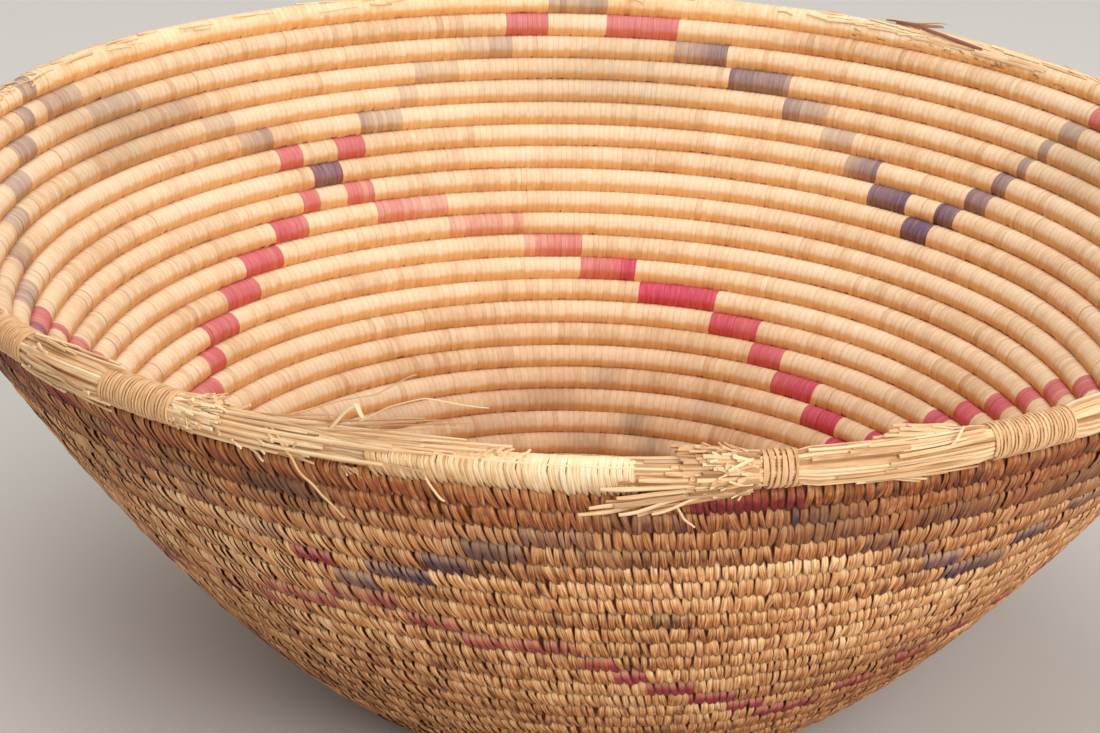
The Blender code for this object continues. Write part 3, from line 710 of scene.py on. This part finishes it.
def sewn(name, chosen, part, wear=0.0, thin=1.0):
    """The chosen stitches as one object. Worn ones are paler, cleaner and calmer."""
    turned = stitches[chosen][:, None]
    radius = np.maximum(np.interp(coil_place(turned), PLACES, OUTLINE[:, 0]), LEAST_RADIUS)
    scale = np.interp(turned, TURNED, COIL_HALF) / HALF_WIDTH * thin
    calm = 1 - 0.8 * wear
    width = np.clip(spacing[chosen] * radius[:, 0], NARROWEST, WIDEST) * width_noise[chosen]
    along = STITCH_POINTS[None, :, 1] * width[:, None]
    along = along * (1 + (outer_width[chosen] * calm + 0.22 * wear)[:, None] * OUTER_SHARE)
    along = along + STITCH_LEAN[None] * (1 + lean_noise[chosen] * calm)[:, None] * scale
    along = along + calm * (tip_shift[chosen][:, None] * TIP_SHARE + top_shift[chosen][:, None] * TOP_SHARE)
    out = STITCH_POINTS[None, :, 0] * scale
    out = out + np.sign(out) * lift_noise[chosen][:, None] + outer_lift[chosen][:, None] * OUTER_SHARE
    out = out + calm * roll[chosen][:, None] * ACROSS_SHARE * OUTER_SHARE
    up = STITCH_POINTS[None, :, 2] * scale
    up = up + (edge_wave(turned) + tip_drop[chosen][:, None]) * TIP_SHARE * scale
    up = up + edge_wave(turned + TURN) * TOP_SHARE * scale
    there = turned + along / radius
    points = beside_bowl(azimuth_of(there), coil_place(there) - HALF_WIDTH * (1 - thin), out, up)
    values = {key: value[chosen] for key, value in STRIP_VALUES.items()}
    for key in ("dirt", "deep", "soot"):
        values[key] = values[key] * (1 - wear)
    values["tone"] = values["tone"] + 0.12 * wear
    values["wear"] = np.full(len(chosen), wear)
    return belongs(stitch_copies(name, pressed_flat(points), values), wrapped_look, part)


faces_sewn = 0
for k in range(int(rounds_below.max()), -1, -1):
    chosen = np.flatnonzero(rounds_below == k)
    middle = float(np.median(coil_place(stitches[chosen])))
    part = next(name for name, _, high in STRETCHES if middle < high)
    faces_sewn += len(sewn(f"round_{k:02d}", chosen, part).data.polygons)
print("faces of the sewn rounds:", faces_sewn)

# %% [markdown]
# ## The straw, modelled once
#
# Everything at the rim is grass: the coil's filling, the bare bundles, broken ends and stray hairs. One
# straw is a six-sided rod, made by extruding a small hexagon step by step and closing its ends. A copy
# is laid along any line by moving each ring of corners to its place on that line.

# %% Model straws of several lengths
def model_rod(sides, rings):
    """A closed rod of radius 1 along +Z, in equal steps of 1, made by extruding a filled polygon."""
    bpy.ops.object.select_all(action="DESELECT")
    bpy.ops.mesh.primitive_circle_add(vertices=sides, radius=1, fill_type="NGON")
    bpy.ops.object.mode_set(mode="EDIT")
    bpy.ops.mesh.select_mode(type="FACE")
    bpy.ops.mesh.select_all(action="SELECT")
    for _ in range(rings - 1):
        bpy.ops.mesh.extrude_region_move(TRANSFORM_OT_translate={"value": (0, 0, 1)})
    bpy.ops.mesh.select_all(action="SELECT")
    bpy.ops.mesh.normals_make_consistent(inside=False)
    bpy.ops.object.mode_set(mode="OBJECT")
    return bpy.context.object


class Rod:
    """A modelled rod as arrays, ready to be laid along lines."""

    def __init__(self, sides, rings):
        made = model_rod(sides, rings)
        points = np.array([v.co for v in made.data.vertices])
        self.rings = rings
        self.ring = np.rint(points[:, 2]).astype(int)
        self.x, self.y = points[:, 0], points[:, 1]
        self.faces = [list(p.vertices) for p in made.data.polygons]
        angle = np.arctan2(self.y, self.x) / TURN % 1
        self.maps = []
        for face in self.faces:
            turns = angle[face]
            if np.ptp(turns) > 0.5 and len(face) == 4:
                turns = np.where(turns < 0.5, turns + 1, turns)
            self.maps.append(np.stack([turns, self.ring[face] / (rings - 1)], -1))
        bpy.data.objects.remove(made)

    def laid(self, line, outward, across, thick):
        """Corners of a copy along a line: half sizes across and out of what it lies on."""
        ahead = np.gradient(line, axis=0)
        ahead /= np.linalg.norm(ahead, axis=1)[:, None]
        side = np.cross(ahead, outward)
        side /= np.linalg.norm(side, axis=1)[:, None]
        up = np.cross(side, ahead)
        across, thick = (np.broadcast_to(size, len(line))[self.ring] for size in (across, thick))
        return (
            line[self.ring]
            + side[self.ring] * (self.x * across)[:, None]
            + up[self.ring] * (self.y * thick)[:, None]
        )


RODS = {rings: Rod(6, rings) for rings in (17, 33, 65)}
STRAND_ROD = Rod(6, 401)
FILLING_ROD = Rod(8, 121)
print("rods of rings:", sorted(RODS))

# %% [markdown]
# ## Places on the rim
#
# A straw on the rim is laid by its azimuth, by how far it lies from the middle of what carries it, and by
# its turn round that middle: 0 points out of the bowl, 90 up the wall and 180 into the bowl.

# %% Lines round the rim, and an object of straws
STEP_OUT = 10 * MM


def straw_object(name, straws, material, part):
    """One object of several straws, each (rod, corners, length, tone)."""
    faces, maps, tones, numbers, start = [], [], [], [], 0
    for rod, laid, length, tone_value in straws:
        faces += [[start + i for i in face] for face in rod.faces]
        maps += [strip_map * (1, length) for strip_map in rod.maps]
        tones.append(np.full(len(laid), tone_value))
        numbers.append(np.full(len(laid), rng.uniform(0, 1)))
        start += len(laid)
    points = np.vstack([laid for _, laid, _, _ in straws])
    fields = {"tone": np.concatenate(tones), "seed": np.concatenate(numbers)}
    return belongs(mesh_object(name, points, faces, np.vstack(maps), fields, 50), material, part)


def rim_line(degrees, lift, out=0.0, up=0.0):
    """Points beside the last round, which lies one lift above the round below it."""
    turned = END - TURN + np.radians(degrees - STEP_AZIMUTH)
    return beside_bowl(np.radians(degrees), coil_place(turned) + lift, out, up)


def round_rim(degrees, lift, reach, turned_degrees):
    """A line at a reach from the rim's middle, turned round it, and the unit vectors that point there."""
    cos, sin = np.cos(np.radians(turned_degrees)), np.sin(np.radians(turned_degrees))
    away = rim_line(degrees, lift, STEP_OUT * cos, STEP_OUT * sin) - rim_line(degrees, lift)
    away /= np.linalg.norm(away, axis=1)[:, None]
    return rim_line(degrees, lift, reach * cos, reach * sin), away


def length_of(line):
    return float(np.linalg.norm(np.diff(line, axis=0), axis=1).sum())


print("rim lies at", rim_line(np.array([270.0]), COIL_PITCH).round(3).tolist())

# %% [markdown]
# ## The grass filling
#
# Under the stitches runs the bundle itself. It shows only in the small gaps between the tongues of the
# stitches, and at the worn places of the rim. It is real grass, and its dark tint is painted shade for those
# gaps.

# %% Lay the filling along the whole coil
GRASS_LENGTH, GRASS_TONE, RIM_GRASS_TONE = 0.5, 0.4, 0.45
for part, low, high in STRETCHES:
    first = float(np.interp(low, COIL_PLACE, TURNED))
    last = min(float(np.interp(high, COIL_PLACE, TURNED)), END)
    marks = np.linspace(first, last, max(1, round((last - first) / TURN)) + 1)
    straws = []
    for a, b in zip(marks, marks[1:]):
        turns = np.linspace(a, b, FILLING_ROD.rings)
        line = beside_bowl(azimuth_of(turns), coil_place(turns))
        outward = beside_bowl(azimuth_of(turns), coil_place(turns), STEP_OUT) - line
        half = np.interp(turns, TURNED, COIL_HALF)
        laid = FILLING_ROD.laid(pressed_flat(line), outward, half * 1.04, half * 0.9)
        straws.append((FILLING_ROD, pressed_flat(laid), GRASS_LENGTH, GRASS_TONE))
    straw_object("filling_of_" + part, straws, shaded_filling_look, part)
print("filling laid in", len(STRETCHES), "lengths")

# %% [markdown]
# ## The wrapped part of the last round
#
# Behind, the last round is still wrapped all the way, and thins out where it ends on the round below.
# In front a short length has kept its wrapping. Its strips are paler than the wall's, because hands
# and sun have worn and bleached the rim.

# %% Sew the two wrapped lengths of the rim
TAIL, TAIL_SHARE, FILLED = 22.0, 0.45, 0.8
on_rim = rounds_below == -1


def thinned(at):
    """The last round's share of its full width, which falls near its end."""
    return np.interp(at, (BACK_END - TAIL, BACK_END), (1.0, TAIL_SHARE))


for name, low, high, wear in (
        ("front_rim", FRONT_START + 0.3, FRONT_BARE, 0.85), ("back_rim", BACK_START, BACK_END - 0.5, 0.6)):
    chosen = np.flatnonzero(on_rim & (stitch_degrees > low) & (stitch_degrees < high))
    thin = thinned(stitch_degrees[chosen])[:, None]
    sewn(name + "_wrapping", chosen, name + "_coil", wear, thin)
for name, start, end in (("front_rim", FRONT_START, FRONT_END), ("back_rim", BACK_START, BACK_END - 1)):
    at = np.linspace(start, end, FILLING_ROD.rings)
    line = rim_line(at, COIL_PITCH, 0.0, -HALF_WIDTH * (1 - thinned(at)))
    radius = HALF_WIDTH * FILLED * thinned(at)
    laid = FILLING_ROD.laid(line, round_rim(at, COIL_PITCH, 0.0, 0.0)[1], radius, radius)
    straws = [(FILLING_ROD, laid, GRASS_LENGTH, RIM_GRASS_TONE)]
    straw_object(name + "_filling", straws, shaded_filling_look, name + "_coil")
print("stitches on the rim:", int(on_rim.sum()))

# %% [markdown]
# ## The bare bundles
#
# Where the wrapping is gone, the rim is a thick bundle of straws held by a few lashings. Straws lie side
# by side round a core of more straw, each with a little slant of its own, and draw together under each
# lashing. Their ends are ragged where the bundle has broken.

# %% Lay the straws of each bare bundle
LEFT_END, WORN_END, RIGHT_END = 240.3, 254.0, 320.0
WORN_RADIUS = 0.0046
WORN_LIFT = HALF_WIDTH + WORN_RADIUS + REST_GAP
LASHED = {
    "far_left_lashing": (217.6, 222.4), "left_lashing": (231.8, 238.6), "centre_lashing": (281.4, 284.0),
    "right_lashing": (298.6, 305.8)}
FAR_LEFT, LEFT, CENTRE, RIGHT = LASHED.values()
PINCH, PINCH_WAY, CORE_SHARE = 0.86, 1.2, 0.84
STEM_RADII = (0.55 * MM, 1.08 * MM)
SUNK, STEM_WAVE = (-0.4 * MM, 0.2 * MM), 0.3 * MM


def bundle_radius(at, full, lashings):
    """The bundle's radius along the rim, drawn in under its lashings."""
    radius = np.full_like(at, full)
    for low, high in lashings:
        near = np.clip(np.minimum(at - low + PINCH_WAY, high + PINCH_WAY - at) / PINCH_WAY, 0, 1)
        radius = radius * (1 - (1 - PINCH) * near * near * (3 - 2 * near))
    return radius


def bundle(name, part, start, end, lashings, full, lift, count, ragged, twist, tone_level):
    """A bundle of straws round a core, from start to end, with ends spread by ragged degrees."""
    at = np.linspace(start + ragged[0], end - ragged[1], FILLING_ROD.rings)
    core = bundle_radius(at, full, lashings) * CORE_SHARE
    laid = FILLING_ROD.laid(*round_rim(at, lift, 0.0, 0.0), core, core)
    straws = [(FILLING_ROD, laid, GRASS_LENGTH, RIM_GRASS_TONE)]
    rod = RODS[65]
    for layer, share in ((0, 0.7), (0, 0.88), (1, 1.0)):
        for i in range(count):
            a = start + rng.uniform(-1, 1) * ragged[0]
            b = end + rng.uniform(-1, 1) * ragged[1]
            at = np.linspace(a, b, rod.rings)
            thick = rng.uniform(*STEM_RADII)
            lie = rng.uniform(*SUNK)
            lie = lie + STEM_WAVE * np.sin(np.radians(at * rng.uniform(5, 12)) + rng.uniform(0, 6))
            reach = bundle_radius(at, full, lashings) * share + lie - thick
            wander = 9 * np.sin(np.radians(at * rng.uniform(2, 5)) + rng.uniform(0, 6))
            angle = 360 * (i + 0.5 * layer + rng.uniform(-0.2, 0.2)) / count + twist * (at - start) + wander
            line, outward = round_rim(at, lift, reach, angle)
            laid = rod.laid(line, outward, thick, thick)
            straws.append((rod, laid, length_of(line), tone_level + rng.normal(0, 0.17)))
    return straw_object(name, straws, straw_look, part)


bundle("left_bundle_straws", "left_rim_bundle", 180.0, LEFT_END, (FAR_LEFT, LEFT),
       BUNDLE_RADIUS, BUNDLE_LIFT, 26, (1.0, 1.4), 0.5, 0.56)
bundle("right_bundle_straws", "right_rim_bundle", FRONT_END + 0.6, RIGHT_END, (CENTRE, RIGHT),
       BUNDLE_RADIUS, BUNDLE_LIFT, 26, (1.6, 0.8), -0.4, 0.58)
bundle("worn_bundle_straws", "worn_rim_bundle", LEFT_END - 1.5, WORN_END + 1.0, (),
       WORN_RADIUS, WORN_LIFT, 15, (0.5, 0.3), 0.6, 0.55)
print("bare bundles laid")

# %% [markdown]
# ## The lashings
#
# Each lashing is one strand wound tightly round the bundle, turn against turn. It is laid along
# a helix, with its flat side on the straws. The centre one is the loosest.

# %% Wind the lashings
STRAND_HALF, STRAND_LIFT, STRAND_WAVE = 0.55 * MM, 0.4 * MM, 0.22 * MM
PITCHES = (1.7 * MM, 1.6 * MM, 2.1 * MM, 1.6 * MM)
for (name, span), pitch, tone_level in zip(LASHED.items(), PITCHES, (0.5, 0.52, 0.52, 0.55)):
    turns = round(math.radians(span[1] - span[0]) * RIM_RADIUS / pitch)
    share = np.linspace(0, 1, STRAND_ROD.rings)
    at = span[0] + (span[1] - span[0]) * share
    reach = bundle_radius(at, BUNDLE_RADIUS, (span,)) + STRAND_LIFT
    wound = share * turns * TURN
    reach = reach + STRAND_WAVE * np.sin(2.4 * wound) * np.sin(0.31 * wound)
    across = pitch * 0.5 * (0.84 + 0.3 * np.sin(1.7 * wound))
    laid = STRAND_ROD.laid(*round_rim(at, BUNDLE_LIFT, reach, 360 * turns * share), across, STRAND_HALF)
    straws = [(STRAND_ROD, laid, turns * 0.11, tone_level)]
    straw_object(name + "_strand", straws, strand_look, name)
print("lashings wound:", len(LASHED))

# %% [markdown]
# ## Loose straws, threads and hairs
#
# The broken bundle lets straws spring away from the rim. Each one starts on what holds it and lifts off
# along its way. A table gives, point by point, the azimuth, how far it lifts off as a share of ten
# millimetres, and the turn from out of the bowl towards up the wall.

# %% A single straw, and a fan of straws
STRAW_RADIUS, THREAD_RADIUS, HAIR_RADIUS = 0.85 * MM, 0.5 * MM, 0.3 * MM
DARK_RADIUS, BENT_RADIUS, FLAP_RADIUS = 0.9 * MM, 1.1 * MM, 1.9 * MM
LOOSE_GAP, STRAY = 0.2 * MM, 10 * MM
ON_COIL, ON_WORN, ON_BUNDLE = (COIL_PITCH, HALF_WIDTH), (WORN_LIFT, WORN_RADIUS), (BUNDLE_LIFT, BUNDLE_RADIUS)


def single(table, carrier, radius, tone_level, rings=33, thin_end=0.7, flat=1.0):
    """One straw through a table of (azimuth, lift-off share, turn)."""
    lift, core = carrier
    knots = np.array(table, float)
    rod = RODS[rings]
    way = np.linspace(0, 1, rings)
    moves = np.abs(np.diff(knots[:, 0])) + 0.02 * np.abs(np.diff(knots[:, 2]))
    steps = np.concatenate([[0], np.cumsum(moves)]) / moves.sum()
    at, share, angle = (np.interp(way, steps, knots[:, i]) for i in range(3))
    share, angle = (
        np.convolve(np.pad(value, 2, mode="edge"), np.ones(5) / 5, mode="valid") for value in (share, angle))
    distance = core + LOOSE_GAP + radius + STRAY * share
    distance = distance + radius * 0.6 * np.sin(way * 9 + rng.uniform(0, 6)) * share
    line, outward = round_rim(at, lift, distance, angle)
    size = radius * np.interp(way, [0, 0.8, 1], [1, 1, thin_end])
    return rod, rod.laid(line, outward, size, size * flat), length_of(line), tone_level


def fan(start, ends, layer, turns, rises):
    """The tables of straws side by side on a bundle, from a shared start to ends of their own."""
    first, step_near, first_far, step_far = turns
    reach = max(ends, key=lambda end: abs(end - start))
    tables = []
    for i, end in enumerate(ends):
        share = (end - start) / (reach - start)
        rise = rises[0] + (rises[1] - rises[0]) * i / (len(ends) - 1)
        low = first + step_near * i
        high = low + (first_far + step_far * i - low) * share
        lying = layer * 2 * STRAW_RADIUS / STRAY
        tables.append(((start, lying, low), (end, lying + rise * share, high)))
    return tables


LOOSE_ENDS = (247.5, 255.5, 251.0, 258.8, 262.5, 264.2, 260.9, 256.5)
BROKEN_ENDS = (241.6, 242.3, 241.4, 242.9, 241.9)
FRAYED_ENDS = (268.9, 269.6, 271.4, 270.3, 272.8, 274.6, 275.0)
FANS = {
    "loose_straw": (fan(239.4, LOOSE_ENDS, 0, (0, 22, 30, 16), (0.5, 0.5)), ON_WORN, 0.66),
    "broken_straw": (fan(239.4, BROKEN_ENDS, 1, (44, 18, 40, 19), (0.08, 0.14)), ON_WORN, 0.75),
    "frayed_straw": (fan(276.6, FRAYED_ENDS, 0, (-38, 18, -32, 19), (0.9, 0.2)), ON_COIL, 0.6),
}
for name, (tables, carrier, tone_level) in FANS.items():
    for i, table in enumerate(tables):
        straws = [single(table, carrier, STRAW_RADIUS, tone_level + rng.normal(0, 0.08))]
        straw_object(f"{name}_{i + 1}_look", straws, straw_look, f"{name}_{i + 1}")
print("straws in fans:", sum(len(tables) for tables, _, _ in FANS.values()))

# %% [markdown]
# ## The straws that stand out
#
# A few straws, threads and hairs are seen one by one: a bent straw, two long hairs across the bowl,
# threads that hang down the wall, a loop of string, and behind, a flap of flat straw with one dark strand.

# %% Lay the single straws
SINGLES = {
    "top_strand": (ON_COIL, THREAD_RADIUS, 0.85, (
        (256.5, 0, 82), (262, 0.06, 74), (270, 0.05, 70), (277.5, 0.03, 66))),
    "bent_straw": (ON_WORN, BENT_RADIUS, 0.75, ((250.6, 0, 112), (253.0, 1.42, 118), (253.7, 0.95, 108))),
    "long_stray_hair": (ON_WORN, HAIR_RADIUS, 0.7, (
        (245, 0, 172), (249, 0.9, 162), (254, 1.7, 134), (257.5, 3, 115))),
    "short_stray_hair": (ON_WORN, HAIR_RADIUS, 0.8, (
        (251, 0, 150), (255, 1.3, 132), (258, 1.9, 124), (262.5, 1.9, 118))),
    "left_hanging_thread": (ON_WORN, THREAD_RADIUS, 0.5, (
        (245.6, 0.1, 115), (247.4, 0.2, 66), (248.7, 0.25, 5), (249.7, 0.9, -50), (250.7, 1.9, -68),
        (251.4, 2.7, -74))),
    "middle_hanging_thread": (ON_COIL, THREAD_RADIUS, 0.7, (
        (258.3, 0, -20), (258.9, 0.4, -32), (259.6, 0.8, -48))),
    "right_hanging_thread": (ON_COIL, THREAD_RADIUS, 0.6, (
        (274.8, 0, -50), (275.4, 0.4, -42), (276.1, 1, -48), (276.9, 1.45, -54))),
    "string_loop": (ON_BUNDLE, THREAD_RADIUS, 0.8, (
        (294.6, 0, 60), (295.2, 0.3, 78), (295.9, 0.3, 96), (296.4, 0, 116))),
    "long_split_straw": (ON_BUNDLE, STRAW_RADIUS, 0.6, ((296, 0, 150), (291.2, 0.3, 142))),
    "short_split_straw": (ON_BUNDLE, STRAW_RADIUS, 0.6, ((295, 0, 132), (290.6, 0.2, 124))),
    "upper_flap_straw": (ON_COIL, FLAP_RADIUS, 0.72, ((421.4, 0, 98), (418, 0.1, 98), (414.9, 0.38, 98))),
    "lower_flap_straw": (ON_COIL, FLAP_RADIUS, 0.65, ((420.6, 0, 70), (415.4, 0.2, 84))),
    "dark_strand": (ON_COIL, DARK_RADIUS, 0.6, (
        (409.6, 0.02, 168), (412.5, 0.1, 158), (414, 0.12, 152), (416, 0.12, 141), (418, 0.1, 122),
        (421.4, 0.06, 100))),
}
FLATTENED = {BENT_RADIUS: 0.75, FLAP_RADIUS: 0.2, DARK_RADIUS: 0.5}
for name, (carrier, radius, tone_level, table) in SINGLES.items():
    look, slot = (dark_look, "dark_strand") if radius == DARK_RADIUS else (straw_look, "bare_straw")
    straws = [single(table, carrier, radius, tone_level, 65, flat=FLATTENED.get(radius, 1.0))]
    straw_object(name + "_look", straws, look, name)
print("single straws:", len(SINGLES))

# %% [markdown]
# ## Broken ends, splinters and wisps
#
# What makes the rim look used is the crowd of small straws: cut ends in a brush behind the left
# lashing, long wisps over the worn coil, splinters where the right bundle starts. Each crowd is set out
# by its limits, and every straw draws its own place within them. Where one end is held, it starts
# below the surface and only the other end rises. The first word of a crowd's name says where it lies.

# %% Scatter the small straws
TENTH = 0.1 * MM
ON_FILLING = (COIL_PITCH, HALF_WIDTH * FILLED)
HOLDERS = {
    "left": ("left_rim_bundle", ON_BUNDLE), "worn": ("worn_rim_bundle", ON_WORN),
    "rim": ("front_rim_coil", ON_COIL), "front": ("front_rim_coil", ON_FILLING),
    "frayed": ("right_rim_bundle", ON_COIL), "right": ("right_rim_bundle", ON_BUNDLE),
    "back": ("back_rim_coil", ON_COIL)}
# Each row: how many, where they start, lengths in degrees, turns, rise where held and lowest and highest
# rise of the free end, radii in tenths of a millimetre, tones, swing in degrees, and what differs.
CROWDS = {
    "left_brush": (170, (238.0, 239.4), (1.2, 3.9), (5, 200), (-0.26, -0.32, 0.04), (3, 8), (0.45, 0.98), 7),
    "left_outer_brush": (
        70, (238.0, 239.2), (0.7, 1.9), (-85, 20), (-0.26, -0.26, -0.02), (3, 8), (0.35, 0.9), 7),
    "left_brush_wisps": (10, (239.0, 241.0), (1.5, 3.5), (30, 170), (-0.3, 0, 0.25), (3, 5), (0.55, 0.9), 10),
    "worn_short_straws": (
        22, (239.5, 243.0), (4, 9), (-55, 175), (-0.04, -0.02, 0.15), (4, 8), (0.3, 0.8), 14),
    "worn_long_straws": (
        26, (239.5, 246.0), (8, 19), (52, 165), (-0.04, 0.02, 0.32), (4, 9), (0.4, 0.85), 12),
    "worn_yellow_straws": (
        10, (238.8, 241.0), (12, 19), (-62, -20), (-0.02, 0, 0.06), (5, 8), (0.5, 0.7), 6, {"drift": 95}),
    "worn_top_straws": (
        12, (248.0, 253.0), (4, 10), (70, 135), (-0.05, 0.02, 0.25), (5, 9), (0.55, 0.9), 8,
        {"carrier": ON_COIL}),
    "worn_short_ends": (26, (241.5, 252.0), (0.8, 2.6), (-10, 170), (0, 0.1, 0.45), (4, 9), (0.5, 0.95), 14),
    "worn_grey_wisps": (15, (239.5, 245.0), (9, 20), (70, 160), (0.05, 0.3, 1.2), (3, 5), (0.6, 0.9), 24),
    "worn_grey_straws": (9, (240.0, 247.0), (8, 14), (50, 140), (0, 0.1, 0.4), (5, 8), (0.45, 0.7), 14),
    "worn_tuft": (9, (252.0, 252.8), (0.4, 1.3), (-48, -20), (0.05, 0.1, 0.5), (3, 6), (0.55, 0.85), 20),
    "rim_stubs": (70, (254.2, 265.5), (0.25, 0.7), (48, 122), (-0.05, -0.02, 0.09), (4, 8), (0.4, 0.9), 16),
    "front_bare_straws": (
        40, (271.9, 273.2), (4.4, 5.6), (-72, 242), (-0.02, -0.02, 0.08), (7, 11), (0.45, 0.8), 6),
    "front_grey_straws": (
        12, (271.6, 273.4), (4.4, 5.6), (-30, 110), (0.05, 0.05, 0.14), (6, 10), (0.4, 0.7), 6),
    "frayed_sheaf": (
        8, (280.2, 280.9), (-9.5, -5.2), (-66, -14), (0.02, 0.3, 0.95), (8, 11.5), (0.6, 0.9), 5),
    "frayed_grey_sheaf": (
        5, (280.2, 280.9), (-9.5, -5.5), (-56, -10), (0.04, 0.25, 0.8), (8, 11.5), (0.5, 0.8), 5),
    "right_splinters": (
        130, (280.2, 281.3), (-5.2, -0.8), (-86, 180), (-0.2, -0.2, 0.12), (5, 12), (0.4, 0.9), 5,
        {"flat": 0.6}),
    "right_short_splinters": (
        60, (278.4, 280.8), (-2.0, -0.5), (-60, 150), (-0.05, -0.08, 0.3), (3, 7), (0.4, 0.95), 12,
        {"flat": 0.7}),
    "right_grey_splinters": (
        30, (280.0, 281.4), (-5.0, -1.2), (-60, 130), (-0.1, -0.05, 0.14), (5, 10), (0.35, 0.75), 5,
        {"flat": 0.6}),
    "right_split_ends": (
        9, (294.5, 296.5), (-5.0, -1.5), (108, 158), (-0.04, 0.05, 0.3), (6, 11), (0.6, 0.95), 6,
        {"flat": 0.6}),
    "right_low_splits": (
        6, (290.5, 291.5), (1.2, 2.6), (-62, -38), (-0.04, 0.02, 0.22), (5, 9), (0.55, 0.85), 8,
        {"flat": 0.6}),
    "right_loose_straws": (
        18, (284.5, 291.0), (4, 9), (-40, 150), (-0.04, -0.03, 0.04), (5, 9), (0.35, 0.9), 8),
    "left_loose_straws": (18, (222.6, 227.0), (4, 7), (-70, 170), (-0.02, 0, 0.12), (5, 9), (0.35, 0.85), 14),
    "left_loose_ends": (7, (223.0, 230.0), (1.0, 2.4), (-50, 150), (0, 0.02, 0.16), (4, 8), (0.45, 0.85), 14),
    "back_flap_straws": (
        60, (401.5, 414.0), (3.0, 8.0), (78, 190), (-0.07, -0.065, 0), (5, 10), (0.6, 0.85), 4,
        {"flat": 0.5}),
    "back_rim_wisps": (
        110, (390.0, 530.0), (1.5, 6.0), (40, 180), (-0.04, -0.02, 0.1), (3, 7), (0.55, 0.9), 12),
    "back_rim_frays": (
        40, (398.0, 424.0), (0.3, 1.0), (206, 236), (-0.06, -0.05, 0.02), (3, 6), (0.2, 0.5), 10),
}


def crowd(name, number, starts, lengths, turns, rises, radii, tones, swing, differs=None):
    """Many small straws as one object, from starts on, each rising from its held end to its free end."""
    part, carrier = HOLDERS[name.split("_")[0]]
    own = {"carrier": carrier, "flat": 0.8, "drift": 0} | (differs or {})
    straws = []
    for _ in range(number):
        a = rng.uniform(*starts)
        b = a + rng.uniform(*lengths)
        turn = rng.uniform(*turns)
        held, free = rises[0], rng.uniform(*rises[1:])
        swung = turn + own["drift"] + rng.normal(0, swing)
        middle = (turn + swung) / 2 + rng.normal(0, swing / 3)
        bow = held + (free - held) * rng.uniform(0.1, 0.5)
        table = ((a, held, turn), ((a + b) / 2, bow, middle), (b, free, swung))
        radius = rng.uniform(*radii) * TENTH
        tone_level, thin_end = rng.uniform(*tones), rng.uniform(0.75, 1.1)
        straws.append(single(table, own["carrier"], radius, tone_level, 17, thin_end, own["flat"]))
    return straw_object(name, straws, grey_look if "grey" in name else straw_look, part)


for name, limits in CROWDS.items():
    crowd(name, *limits)
print("small straws:", sum(limits[0] for limits in CROWDS.values()), "in", len(CROWDS), "crowds")

# %% [markdown]
# ## The stage
#
# A plain pale floor and soft light from above, as on a bright covered porch.

# %% Floor and lights
FLOOR_SIZE = 12
LAMPS = {
    "window_light": ((1.25, -2.4, 1.65), (0, 0, 0.15), 1.9, 71),
    "sky_light": ((-0.2, 0.3, 2.4), (0, 0, 0.1), 2.4, 36),
}
bpy.ops.object.select_all(action="DESELECT")
bpy.ops.mesh.primitive_plane_add(size=FLOOR_SIZE, location=(0, 0, 0))
floor = bpy.context.object
floor.name = "floor"
floor_look = bpy.data.materials.new("floor")
floor_look.use_nodes = True
floor_shader = floor_look.node_tree.nodes["Principled BSDF"]
floor_shader.inputs["Base Color"].default_value = srgb(214, 210, 204)
floor_shader.inputs["Roughness"].default_value = 0.9
floor.data.materials.append(floor_look)

for name, (stand, target, size, power) in LAMPS.items():
    bpy.ops.object.light_add(type="AREA", location=stand)
    lamp = bpy.context.object
    lamp.name = name
    lamp.data.size = size
    lamp.data.energy = power
    x, y, z = np.subtract(target, stand)
    lamp.rotation_euler = (math.atan2(z, math.hypot(x, y)) + math.pi / 2, 0, math.atan2(y, x) - math.pi / 2)
world = bpy.data.worlds.new("room")
bpy.context.scene.world = world
world.use_nodes = True
world.node_tree.nodes["Background"].inputs["Color"].default_value = (1, 0.98, 0.95, 1)
world.node_tree.nodes["Background"].inputs["Strength"].default_value = 0.40
print("lamps:", len(LAMPS))

# %% [markdown]
# ## The camera
#
# The camera stands where the photographer stood: a little above the rim, in front, with a long lens.
# Its distance is told in rim radii, and its angles come from fitting the rim and the rows of coil to
# the picture.

# %% Set up the camera
FIT_RADIUS, FIT_HEIGHT = 0.300, 0.23683
DISTANCE, RAISED, YAW, PITCH, ROLLED = 4.469996, 0.3321409, -0.0179948, 0.0609828, 0.0278700
FOCAL_PIXELS, IMAGE_WIDTH, SENSOR = 3000.0, 1100.0, 36.0
eye = FIT_RADIUS * np.array([0, -DISTANCE * math.cos(RAISED), DISTANCE * math.sin(RAISED)])
eye = eye + [0, 0, FIT_HEIGHT]
down = RAISED + PITCH
aim = np.array([math.sin(YAW) * math.cos(down), math.cos(YAW) * math.cos(down), -math.sin(down)])
level_right = np.cross(aim, [0, 0, 1])
level_right /= np.linalg.norm(level_right)
level_up = np.cross(level_right, aim)
right = level_right * math.cos(ROLLED) + level_up * math.sin(ROLLED)
upward = -level_right * math.sin(ROLLED) + level_up * math.cos(ROLLED)
bpy.ops.object.camera_add()
camera = bpy.context.object
camera.matrix_world = Matrix([[right[i], upward[i], -aim[i], eye[i]] for i in range(3)] + [[0, 0, 0, 1]])
camera.data.sensor_width = SENSOR
camera.data.lens = SENSOR * FOCAL_PIXELS / IMAGE_WIDTH
bpy.context.scene.camera = camera
bpy.context.scene.view_settings.view_transform = "Standard"
print("camera stands at", eye.round(3).tolist())
